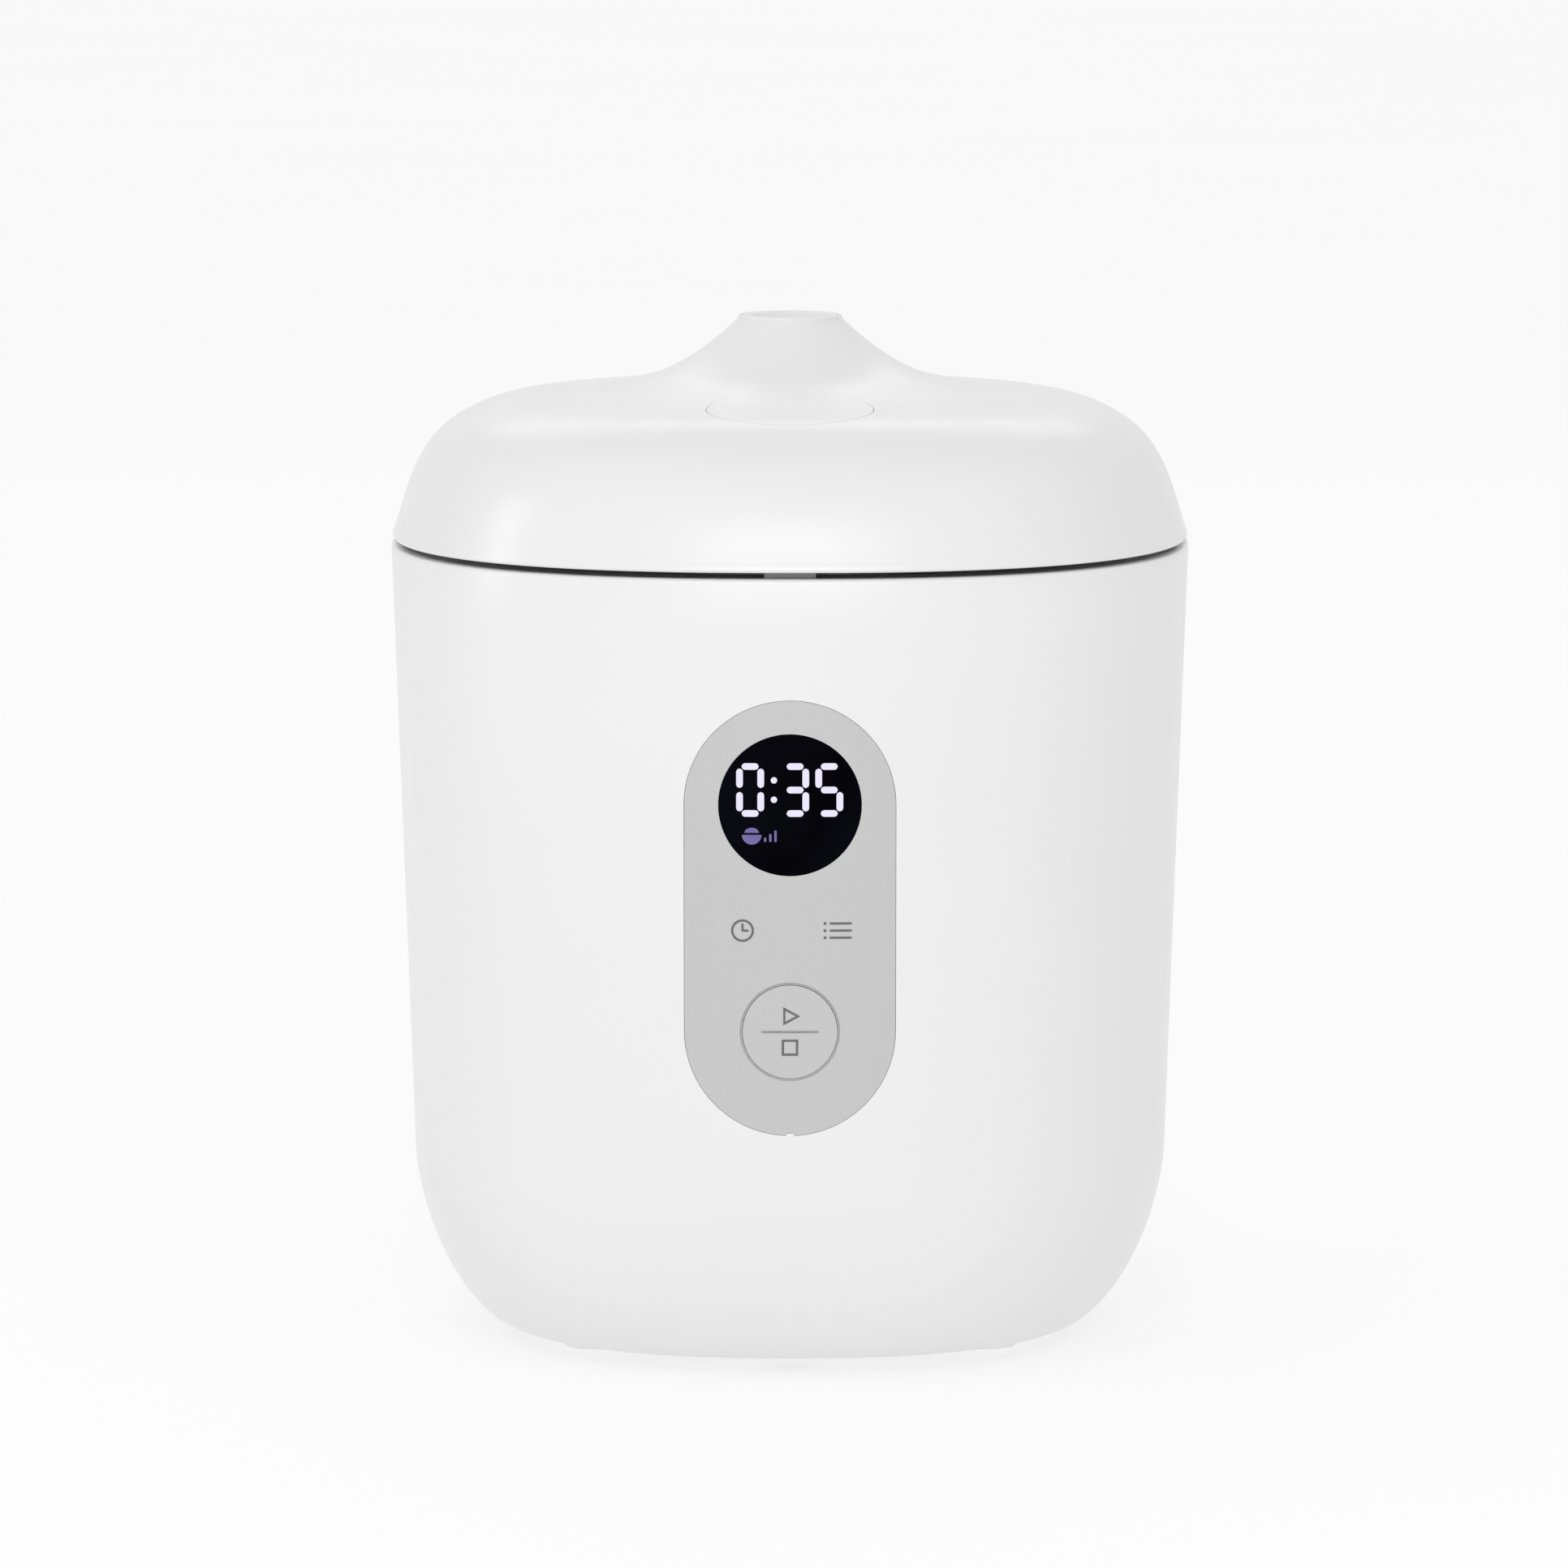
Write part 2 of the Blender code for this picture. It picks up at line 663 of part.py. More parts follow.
# ---------------------------------------------------------------- pot and heating

def make_pot(material):
    inner = POT_RADIUS - POT_WALL
    flat = POT_RADIUS - POT_CORNER
    flange = POT_RADIUS + POT_FLANGE
    low = POT_BOTTOM_Z
    inner_arc = arc((flat, low + POT_CORNER), POT_CORNER - POT_WALL, -90, 0, 4)
    outer_arc = arc((flat, low + POT_CORNER), POT_CORNER, 0, -90, 4)
    profile = [(0.0, low + POT_WALL)] + inner_arc
    profile += [(inner, POT_TOP_Z), (flange, POT_TOP_Z), (flange, POT_TOP_Z - POT_WALL),
                (POT_RADIUS, POT_TOP_Z - POT_WALL)]
    profile += outer_arc + [(0.0, low)]
    return turned("inner_pot", profile, material, steps=28, closed=False)


def make_well(material):
    radius = WELL_RADIUS
    outer = radius + WELL_WALL
    low = WELL_BOTTOM_Z
    centre = (radius - WELL_CORNER, low + WELL_CORNER)
    hole = SENSOR_HOLE + 0.0025
    profile = [(radius, WELL_TOP_Z), (radius + WELL_FLANGE, WELL_TOP_Z),
               (radius + WELL_FLANGE, WELL_TOP_Z - WELL_WALL), (outer, WELL_TOP_Z - WELL_WALL)]
    profile += arc(centre, WELL_CORNER + WELL_WALL, 0, -90, 2)
    profile += [(hole, low - WELL_WALL), (hole, low)]
    profile += arc(centre, WELL_CORNER, -90, 0, 2)
    well = turned("heating_well", profile, material, steps=28)
    for sign, place in element_ends():
        hole = cylinder("terminal_hole_" + sign, (*place, low - 0.003), (*place, low + 0.003),
                        ELEMENT_TUBE + 0.0010, segments=12)
        cut(well, hole)
    return well


def element_ends():
    """The two places where the heating element turns down through the well."""
    half = math.radians(ELEMENT_GAP_DEGREES / 2)
    x = ELEMENT_RADIUS * math.sin(half)
    y = -ELEMENT_RADIUS * math.cos(half)
    return (("right", (x, y)), ("left", (-x, y)))


def make_heater(aluminium, steel):
    groove = ELEMENT_TUBE + 2 * GAP
    groove_arc = arc((ELEMENT_RADIUS, PLATE_BOTTOM_Z), groove, 0, 180, 4)
    profile = [(SENSOR_HOLE, PLATE_TOP_Z), (PLATE_RADIUS - 0.001, PLATE_TOP_Z),
               (PLATE_RADIUS, PLATE_TOP_Z - 0.001), (PLATE_RADIUS, PLATE_BOTTOM_Z)]
    profile += groove_arc + [(SENSOR_HOLE, PLATE_BOTTOM_Z)]
    plate = turned("heater_plate", profile, aluminium, steps=24)
    for index, degrees in enumerate((30, 150, 270)):
        angle = math.radians(degrees)
        x = LEG_CIRCLE * math.cos(angle)
        y = LEG_CIRCLE * math.sin(angle)
        leg = cylinder("plate_leg_" + str(index + 1), (x, y, WELL_BOTTOM_Z + GAP),
                       (x, y, PLATE_BOTTOM_Z + 0.002), LEG_RADIUS, segments=10)
        fuse(plate, leg)
    element_z = PLATE_BOTTOM_Z - 0.0001
    start = -90 + ELEMENT_GAP_DEGREES / 2
    end = 270 - ELEMENT_GAP_DEGREES / 2
    ring = [(x, y, element_z) for x, y in arc((0, 0), ELEMENT_RADIUS, start, end, 24)]
    drop = [element_z - 0.004, element_z - 0.010, WELL_BOTTOM_Z - 0.006]
    right, left = ring[0], ring[-1]
    points = [(right[0], right[1], z) for z in reversed(drop)] + ring
    points += [(left[0], left[1], z) for z in drop]
    element = wire("heater_element", points, ELEMENT_TUBE, steel)
    fuse_y = GUIDE_BASE_RADIUS + 0.010
    fuse_z = WELL_BOTTOM_Z - WELL_WALL - GAP - 0.0022
    thermal = cylinder("thermal_fuse", (-0.007, fuse_y, fuse_z), (0.007, fuse_y, fuse_z), 0.0022, steel, 12)
    return [plate, element, thermal]


def make_sensor(aluminium, plastic, steel):
    skirt_z = PLATE_TOP_Z - SENSOR_HEIGHT
    crown = PLATE_TOP_Z - 0.0015
    inner = SENSOR_RADIUS - SENSOR_SKIRT
    profile = [(0.0, PLATE_TOP_Z), (SENSOR_RADIUS - 0.0006, PLATE_TOP_Z), (SENSOR_RADIUS, PLATE_TOP_Z - 0.0006),
               (SENSOR_RADIUS, skirt_z), (inner, skirt_z), (inner, crown), (0.0, crown)]
    cap = turned("sensor_cap", profile, aluminium, steps=24, closed=False)
    tube_top = crown - SENSOR_TRAVEL - 0.0045
    bore = GUIDE_RADIUS - GUIDE_WALL
    low = GUIDE_BASE_Z - GUIDE_WALL
    profile = [(bore, tube_top), (GUIDE_RADIUS, tube_top), (GUIDE_RADIUS, GUIDE_BASE_Z),
               (GUIDE_BASE_RADIUS, GUIDE_BASE_Z), (GUIDE_BASE_RADIUS, low), (0.004, low),
               (0.004, GUIDE_BASE_Z), (bore, GUIDE_BASE_Z)]
    guide = turned("sensor_guide", profile, plastic, steps=24)
    spring_wire = 0.0005
    spring_low = GUIDE_BASE_Z + GAP + spring_wire
    spring = coil("sensor_spring", (0, 0, spring_low), bore - 0.0015,
                  crown - GAP - spring_wire - spring_low, 4, spring_wire, steel)
    parent_to("sensor_axis", (0, 0, PLATE_TOP_Z), [cap])
    return [guide, cap, spring]


# ---------------------------------------------------------------- control panel

def shell_piece(name, outline, material):
    """A piece of the body's front wall inside an outline, flush with the body."""
    piece = body_shell(name, material)
    keep = prism(name + "_edge", outline, "Y", -BODY_HALF_WIDTH - 0.01, -BODY_HALF_WIDTH / 2)
    keep_inside(piece, keep)
    return piece


def front_back_face(height):
    """Y of the inner face of the front wall at a height."""
    return -(body_half_width(height) - BODY_WALL)


def panel_post_places():
    """Two posts beside the display module and two between the key and the panel's end."""
    upper = MODULE_HALF + BOARD_POST_RADIUS + FIT
    reach = (PANEL_WIDTH / 2 + KEY_RADIUS) / 2
    angle = math.radians(POST_ANGLE)
    lower = reach * math.cos(angle)
    low_z = KEY_Z - reach * math.sin(angle)
    return [(-upper, TOUCH_Z + POST_RISE), (upper, TOUCH_Z + POST_RISE), (-lower, low_z), (lower, low_z)]


def make_panel(silver, black, board_green, grey, steel):
    board_front = front_back_face(PANEL_BOTTOM_Z) + BOARD_SETBACK
    board_back = board_front + BOARD_THICKNESS
    fascia = shell_piece("panel_fascia", capsule(PANEL_MIDDLE_Z, PANEL_WIDTH, PANEL_HEIGHT), silver)
    lens_hole = prism("lens_hole", oval((0, DISPLAY_Z), DISPLAY_RADIUS + GAP, DISPLAY_RADIUS + GAP, 28),
                      "Y", -BODY_HALF_WIDTH - 0.01, -BODY_HALF_WIDTH / 2)
    key_hole = prism("key_hole", oval((0, KEY_Z), KEY_RADIUS + FIT, KEY_RADIUS + FIT, 28),
                     "Y", -BODY_HALF_WIDTH - 0.01, -BODY_HALF_WIDTH / 2)
    cut(fascia, lens_hole, key_hole)
    for index, (x, z) in enumerate(panel_post_places()):
        post = cylinder("panel_post_" + str(index + 1), (x, front_back_face(z) - 0.0002, z),
                        (x, board_front - GAP, z), BOARD_POST_RADIUS, segments=10)
        fuse(fascia, post)
    lens = shell_piece("display_lens", oval((0, DISPLAY_Z), DISPLAY_RADIUS, DISPLAY_RADIUS, 28), black)
    key = shell_piece("cook_key", oval((0, KEY_Z), KEY_RADIUS, KEY_RADIUS, 28), silver)
    switch_front = board_front - GAP - SWITCH_DEPTH
    stem = cylinder("key_stem", (0, front_back_face(KEY_Z) - 0.0002, KEY_Z),
                    (0, switch_front - KEY_TRAVEL - GAP, KEY_Z), KEY_STEM_RADIUS, segments=12)
    fuse(key, stem)
    parent_to("cook_key_axis", (0, -body_half_width(KEY_Z), KEY_Z), [key])
    half = SWITCH_WIDTH / 2
    switch = box("key_switch", (-half, switch_front, KEY_Z - half), (half, board_front - GAP, KEY_Z + half),
                 steel)
    module = box("display_module", (-MODULE_HALF, board_front - GAP - MODULE_DEPTH, DISPLAY_Z - MODULE_HALF),
                 (MODULE_HALF, board_front - GAP, DISPLAY_Z + MODULE_HALF), grey)
    board = box("control_board", (-BOARD_WIDTH / 2, board_front, PANEL_BOTTOM_Z + BOARD_MARGIN),
                (BOARD_WIDTH / 2, board_back, PANEL_TOP_Z - BOARD_MARGIN), board_green)
    pads = []
    for side, sign in (("left", -1), ("right", 1)):
        x = sign * TOUCH_X
        pad_front = front_back_face(TOUCH_Z) + PAD_SETBACK
        pads.append(cylinder("touch_pad_" + side, (x, pad_front, TOUCH_Z), (x, board_front - GAP, TOUCH_Z),
                             TOUCH_RADIUS, grey, 14))
    return [fascia, lens, key, switch, module, board] + pads, board_back


# ---------------------------------------------------------------- power parts

def make_power(board_green, black, steel, copper_red, white, board_back):
    board_x, board_y, _ = POWER_BOARD
    board = box("power_board", (-board_x / 2, -board_y / 2, BOARD_Z), (board_x / 2, board_y / 2, BOARD_TOP_Z),
                board_green)
    floor = BOARD_TOP_Z + GAP
    transformer = box("transformer", (-0.027, -0.003, floor), (-0.006, 0.015, floor + 0.015), copper_red)
    round_edges(transformer, 0.001, 1)
    relay = box("power_relay", (0.010, 0.001, floor), (0.027, 0.013, floor + 0.014), black)
    round_edges(relay, 0.0008, 1)
    capacitor = cylinder("filter_capacitor", (-0.026, -0.018, floor), (-0.026, -0.018, floor + 0.016), 0.005,
                         black, 16)
    rear = body_half_width(INLET_Z) - INLET_SETBACK
    front = rear - INLET_DEPTH
    inlet = box("power_inlet", (-INLET_WIDTH / 2, front, INLET_Z - INLET_HEIGHT / 2),
                (INLET_WIDTH / 2, rear, INLET_Z + INLET_HEIGHT / 2), black)
    socket = box("inlet_socket", (-INLET_WIDTH / 2 + INLET_WALL, front + INLET_WALL,
                                  INLET_Z - INLET_HEIGHT / 2 + INLET_WALL),
                 (INLET_WIDTH / 2 - INLET_WALL, rear + 0.001, INLET_Z + INLET_HEIGHT / 2 - INLET_WALL))
    cut(inlet, socket)
    pieces = [board, transformer, relay, capacitor, inlet]
    pin_root = front + INLET_WALL + GAP
    for side, sign in (("left", -1), ("right", 1)):
        x = sign * PIN_SPACING / 2
        pin = box("inlet_pin_" + side, (x - 0.0009, pin_root, INLET_Z - 0.0018),
                  (x + 0.0009, pin_root + PIN_LENGTH, INLET_Z + 0.0018), steel)
        pieces.append(pin)
        lead = [(x, front - GAP, INLET_Z), (x, front - 0.006, INLET_Z - 0.001),
                (x, front - 0.013, INLET_Z - 0.004), (x, board_y / 2 - 0.001, floor + 0.010),
                (x, board_y / 2 - 0.006, floor + 0.005), (x, board_y / 2 - 0.006, floor)]
        pieces.append(wire("inlet_lead_" + side, lead, 0.0011, white))
    for sign, (x, y) in element_ends():
        top = WELL_BOTTOM_Z - 0.006 - GAP
        lead = [(x, y, top), (x, y + 0.001, top - 0.004), (x * 1.15, y + 0.006, (top + floor) / 2),
                (x * 1.25, y + 0.009, floor + 0.004), (x * 1.25, y + 0.009, floor)]
        pieces.append(wire("heater_lead_" + sign, lead, 0.0011, white))
    top = PANEL_BOTTOM_Z + 2 * BOARD_MARGIN
    y = board_back + GAP + 0.0011
    beside_well = min(top - 0.010, WELL_BOTTOM_Z + CABLE_TURN_ABOVE)
    below_well = min(top - 0.022, WELL_BOTTOM_Z - CABLE_TURN_BELOW)
    ribbon = [(0.0, y, top), (0.0, y + 0.0006, beside_well), (0.0, y + 0.008, below_well),
              (0.0, -board_y / 2 - 0.004, floor + 0.010), (0.0, -board_y / 2 + 0.002, floor + 0.006),
              (0.0, -board_y / 2 + 0.004, floor + 0.003), (0.0, -board_y / 2 + 0.004, floor)]
    pieces.append(wire("panel_cable", ribbon, 0.0010, white))
    return pieces


# ---------------------------------------------------------------- lid

def lid_power(radius):
    """Plan of the lid: round at the cone, as square as the body at the rim."""
    wide = BODY_HALF_WIDTH - 0.006
    blend = min(max((radius - 0.024) / (wide - 0.024), 0.0), 1.0)
    blend = blend * blend * (3.0 - 2.0 * blend)
    return 2.0 + (PLAN_POWER - 2.0) * blend


def lid_outline():
    """The lid's outer line from the top of the cone out and down to the rim."""
    lip = (VENT_RADIUS, LID_TOP_Z - LIP_HEIGHT)
    foot = (CONE_FOOT_RADIUS, CONE_FOOT_Z)
    shoulder = (BODY_HALF_WIDTH - SHOULDER_INSET, LID_RIM_Z + SHOULDER_HEIGHT)
    rim = (BODY_HALF_WIDTH - 0.00005, LID_RIM_Z)
    cone = bezier(lip, ahead(lip, CONE_SLOPE, 0.0023), ahead(foot, CROWN_SLOPE, -0.0092), foot, 5)
    crown = bezier(foot, ahead(foot, CROWN_SLOPE, 0.0233), ahead(shoulder, SHOULDER_SLOPE, -0.0125), shoulder, 6)
    side = bezier(shoulder, ahead(shoulder, SHOULDER_SLOPE, 0.0108), ahead(rim, RIM_SLOPE, -0.0090), rim, 6)
    return cone + crown[1:] + side[1:]


def lid_envelope(name, material=None):
    """The lid's outer form as a solid block down to the rim."""
    outline = [(0.0, LID_TOP_Z), (VENT_RADIUS - 0.0004, LID_TOP_Z)] + lid_outline()
    return turned(name, outline + [(0.0, LID_RIM_Z)], material, closed=False, power_at=lid_power)


def inner_outline():
    """The lid's inner line, where it is clear of the neck."""
    line = inset(lid_outline(), LID_WALL)
    line = [point for point in line if point[0] > NECK_OUTER + 0.004 and point[1] > LID_RIM_Z + 0.0012]
    return line[:-1:2] + line[-1:]


def lid_inner_height(radius):
    """Height of the lid's inner surface at a plan radius."""
    line = inner_outline()
    for (near, high), (far, low) in zip(line, line[1:]):
        if near <= radius <= far:
            return high + (low - high) * (radius - near) / (far - near)
    return line[0][1]


def lid_screw_places():
    reach = BODY_HALF_WIDTH - 0.0300
    return [(-reach, -reach), (reach, -reach), (reach, reach), (-reach, reach)]


def make_cover(material):
    inner = inner_outline()
    profile = [(VENT_BORE, LID_TOP_Z), (VENT_RADIUS - 0.0004, LID_TOP_Z)] + lid_outline()
    profile += [(BODY_HALF_WIDTH - LID_WALL, LID_RIM_Z)] + inner[::-1]
    profile += [(NECK_OUTER, inner[0][1] + 0.001), (NECK_OUTER, NECK_BOTTOM_Z), (VENT_BORE, NECK_BOTTOM_Z)]
    cover = turned("lid_cover", profile, material, power_at=lid_power)
    button_hole = prism("button_hole", oval((0, -BUTTON_Y), BUTTON_HALF_WIDTH + FIT, BUTTON_HALF_DEPTH + FIT, 28),
                        "Z", LID_RIM_Z + 0.012, LID_TOP_Z + 0.002)
    notch_radius = HOUSING_RADIUS + NOTCH_CLEARANCE
    notch_half = HOUSING_HALF_LENGTH + NOTCH_CLEARANCE
    notch = cylinder("hinge_notch", (-notch_half, HINGE_Y, HINGE_Z), (notch_half, HINGE_Y, HINGE_Z),
                     notch_radius, segments=24)
    below = box("hinge_notch_foot", (-notch_half, HINGE_Y, LID_RIM_Z - 0.002),
                (notch_half, BODY_HALF_WIDTH + 0.01, HINGE_Z))
    fuse(notch, below)
    for index, (x, y) in enumerate(lid_screw_places()):
        boss = cylinder("lid_boss_" + str(index + 1), (x, y, LINER_RIM_Z + LINER_RIM_THICKNESS + GAP),
                        (x, y, LID_RIM_Z + SHOULDER_HEIGHT - 0.0045), 0.0030, segments=8)
        fuse(cover, boss)
        hole = cylinder("lid_boss_hole_" + str(index + 1), (x, y, LINER_RIM_Z),
                        (x, y, LINER_RIM_Z + 0.0115), SCREW_RADIUS + GAP, segments=8)
        cut(cover, hole)
    cut(cover, button_hole, notch)
    return cover


def make_liner(material, steel):
    outer = BODY_HALF_WIDTH - LID_WALL - LINER_EDGE_CLEARANCE
    recess = LINER_RECESS_RADIUS
    rim_top = LINER_RIM_Z + LINER_RIM_THICKNESS
    chimney = NECK_OUTER
    profile = [(VENT_BORE, NECK_BOTTOM_Z - GAP), (chimney, NECK_BOTTOM_Z - GAP), (chimney, LINER_TOP_Z),
               (recess - 0.0010, LINER_TOP_Z), (recess + 0.0022, rim_top), (outer, rim_top),
               (outer, LINER_RIM_Z), (recess, LINER_RIM_Z), (recess - 0.0020, LINER_FLOOR_Z),
               (0.0060, LINER_FLOOR_Z), (0.0060, LINER_TOP_Z), (VENT_BORE, LINER_TOP_Z)]
    middle = (outer + recess) / 2
    liner = turned("lid_liner", profile, material,
                   power_at=lambda radius: PLAN_POWER if radius > middle else 2.0)
    notch_half = HOUSING_HALF_LENGTH + NOTCH_CLEARANCE
    notch = cylinder("liner_notch", (-notch_half, HINGE_Y, HINGE_Z), (notch_half, HINGE_Y, HINGE_Z),
                     HOUSING_RADIUS + NOTCH_CLEARANCE, segments=24)
    slot = box("latch_slot", (-LATCH_HALF_WIDTH - 0.001, -BODY_HALF_WIDTH, LINER_RIM_Z - 0.001),
               (LATCH_HALF_WIDTH + 0.001, LATCH_Y + 0.0022, rim_top + 0.001))
    cut(liner, notch, slot)
    arm_root = LINER_RECESS_RADIUS - ARM_OVERLAP
    for side, sign in (("left", -1), ("right", 1)):
        start = sign * KNUCKLE_X - KNUCKLE_LENGTH / 2
        end = start + KNUCKLE_LENGTH
        knuckle = cylinder("knuckle_" + side, (start, HINGE_Y, HINGE_Z), (end, HINGE_Y, HINGE_Z),
                           KNUCKLE_RADIUS, segments=20)
        arm = prism("hinge_arm_" + side,
                    [(arm_root, LINER_FLOOR_Z + 0.0005), (HINGE_Y - 0.0085, LINER_FLOOR_Z + 0.0005),
                     (HINGE_Y - 0.0050, HINGE_Z - 0.0045), (HINGE_Y, HINGE_Z - 0.0030),
                     (HINGE_Y, HINGE_Z + 0.0030), (HINGE_Y - 0.0040, HINGE_Z + 0.0030),
                     (arm_root, LINER_TOP_Z + 0.0030)], "X", start, end)
        bore = cylinder("knuckle_bore_" + side, (start - 0.001, HINGE_Y, HINGE_Z), (end + 0.001, HINGE_Y, HINGE_Z),
                        HINGE_PIN_RADIUS + GAP, segments=16)
        fuse(liner, knuckle, arm)
        cut(liner, bore)
    screws = []
    head_top = LINER_RIM_Z + 0.0010
    for index, (x, y) in enumerate(lid_screw_places()):
        label = str(index + 1)
        recess_cut = cylinder("lid_recess_" + label, (x, y, LINER_RIM_Z - 0.002), (x, y, head_top + GAP),
                              SCREW_HEAD_RADIUS + GAP, segments=12)
        hole = cylinder("lid_hole_" + label, (x, y, LINER_RIM_Z - 0.002), (x, y, rim_top + 0.002),
                        SCREW_RADIUS + GAP, segments=10)
        cut(liner, recess_cut, hole)
        screws.append(make_screw("lid_screw_" + label, x, y, head_top, 1, steel))
    return [liner] + screws


def make_inner_lid(aluminium, silicone):
    radius = INNER_PLATE_RADIUS
    low = INNER_PLATE_Z
    top = low + INNER_PLATE_THICKNESS
    hole = 0.0064
    plate = turned("inner_lid_plate", [(hole, top), (radius, top), (radius, low), (hole, low)], aluminium, steps=28)
    gasket_low = POT_TOP_Z + GAP
    lip = radius - GASKET_WIDTH
    profile = [(lip, low - GAP), (radius - 0.0006, low - GAP), (radius - 0.0006, low - 0.0012),
               (radius + 0.0010, gasket_low + 0.0004), (radius + 0.0004, gasket_low),
               (radius - 0.0030, gasket_low), (lip, low - 0.0020)]
    gasket = turned("lid_gasket", profile, silicone, steps=28)
    neck = hole - GAP
    flange = 0.0084
    profile = [(GROMMET_BORE, top + 0.0007), (flange - 0.001, top + 0.0007), (flange - 0.001, top + GAP),
               (neck, top + GAP), (neck, low - GAP), (flange, low - GAP), (flange, low - 0.0013),
               (GROMMET_BORE, low - 0.0013)]
    grommet = turned("plate_grommet", profile, silicone, steps=20)
    return [plate, gasket, grommet]


def make_steam_cap(white, silicone):
    radius = CAP_RADIUS
    inner = radius - CAP_WALL
    bottom = LINER_TOP_Z + 0.0040
    dish = LID_TOP_Z - CAP_DISH
    profile = [(0.0, dish), (radius - 0.0035, dish), (radius - 0.0014, dish + 0.0012),
               (radius - 0.0009, LID_TOP_Z), (radius, LID_TOP_Z), (radius, bottom), (inner, bottom),
               (inner, dish - 0.0030), (inner - 0.0016, dish - 0.0014), (0.0, dish - 0.0014)]
    cap = turned("steam_cap", profile, white, steps=24, closed=False)
    for index in range(3):
        angle = math.radians(90 + 120 * index)
        x = 0.0034 * math.cos(angle)
        y = 0.0034 * math.sin(angle)
        cut(cap, cylinder("steam_hole_" + str(index + 1), (x, y, dish - 0.003), (x, y, dish + 0.001), 0.0011,
                          segments=10))
    profile = [(0.0040, bottom - GAP), (radius - 0.0004, bottom - GAP), (radius - 0.0004, LINER_TOP_Z + GAP),
               (0.0040, LINER_TOP_Z + GAP)]
    seal = turned("steam_seal", profile, silicone, steps=20)
    parent_to("steam_cap_axis", (0, 0, LID_TOP_Z), [cap])
    return cap, seal


def make_button(white, steel):
    button = lid_envelope("release_button", white)
    low = CONE_FOOT_Z - BUTTON_SKIRT
    edge = prism("button_edge", oval((0, -BUTTON_Y), BUTTON_HALF_WIDTH, BUTTON_HALF_DEPTH, 28),
                 "Z", low, LID_TOP_Z + 0.002)
    keep_inside(button, edge)
    hollow = lid_envelope("button_hollow")
    hollow.location = (0, 0, -BUTTON_WALL)
    hollow_edge = prism("button_hollow_edge",
                        oval((0, -BUTTON_Y), BUTTON_HALF_WIDTH - BUTTON_WALL, BUTTON_HALF_DEPTH - BUTTON_WALL, 20),
                        "Z", low - 0.002, LID_TOP_Z)
    keep_inside(hollow, hollow_edge)
    cut(button, hollow)
    stem_top = lid_inner_height(STEM_Y) + 0.0012
    stem = cylinder("button_stem", (0, -STEM_Y, LEVER_TOP_Z + GAP), (0, -STEM_Y, stem_top), STEM_RADIUS,
                    segments=14)
    fuse(button, stem)
    spring_y = -STEM_Y + 0.0145
    spring_wire = 0.0005
    ceiling = lid_inner_height(-spring_y) - 0.0004
    low = LINER_TOP_Z + GAP + spring_wire
    spring = coil("button_spring", (0, spring_y, low), 0.0036, ceiling - GAP - spring_wire - low, 4,
                  spring_wire, steel)
    parent_to("release_button_axis", (0, -BUTTON_Y, CONE_FOOT_Z), [button])
    return button, spring


def make_latch(steel):
    """A lever with an arm under the button's stem and a hook that reaches below the deck."""
    nose_tip = KEEPER_FRONT - HOOK_CLEARANCE
    arm_front = nose_tip - HOOK_NOSE - HOOK_THICKNESS
    nose_top = KEEPER_TOP_Z - KEEPER_THICKNESS - HOOK_CLEARANCE
    nose_low = nose_top - 0.0017
    outline = [(arm_front, nose_low), (nose_tip, nose_low), (nose_tip, nose_top),
               (arm_front + HOOK_THICKNESS, nose_top), (arm_front + HOOK_THICKNESS, LATCH_Z - 0.0020),
               (LATCH_Y + 0.0030, LATCH_Z + 0.0014), (-STEM_Y - 0.0045, LEVER_TOP_Z - 0.0015),
               (-STEM_Y + 0.0030, LEVER_TOP_Z - 0.0015), (-STEM_Y + 0.0030, LEVER_TOP_Z),
               (-STEM_Y - 0.0050, LEVER_TOP_Z), (LATCH_Y + 0.0016, LATCH_Z + 0.0026),
               (LATCH_Y - 0.0018, LATCH_Z + 0.0016), (arm_front, LATCH_Z - 0.0010)]
    lever = prism("latch_lever", outline, "X", -LATCH_HALF_WIDTH, LATCH_HALF_WIDTH, steel)
    bore = cylinder("lever_bore", (-0.02, LATCH_Y, LATCH_Z), (0.02, LATCH_Y, LATCH_Z), LATCH_PIN_RADIUS + GAP,
                    segments=14)
    cut(lever, bore)
    pin = cylinder("latch_pin", (-LATCH_HALF_WIDTH - 0.0035, LATCH_Y, LATCH_Z),
                   (LATCH_HALF_WIDTH + 0.0035, LATCH_Y, LATCH_Z), LATCH_PIN_RADIUS, steel, 12)
    parent_to("latch_axis", (0, LATCH_Y, LATCH_Z), [lever])
    return lever, pin


# ---------------------------------------------------------------- hinge

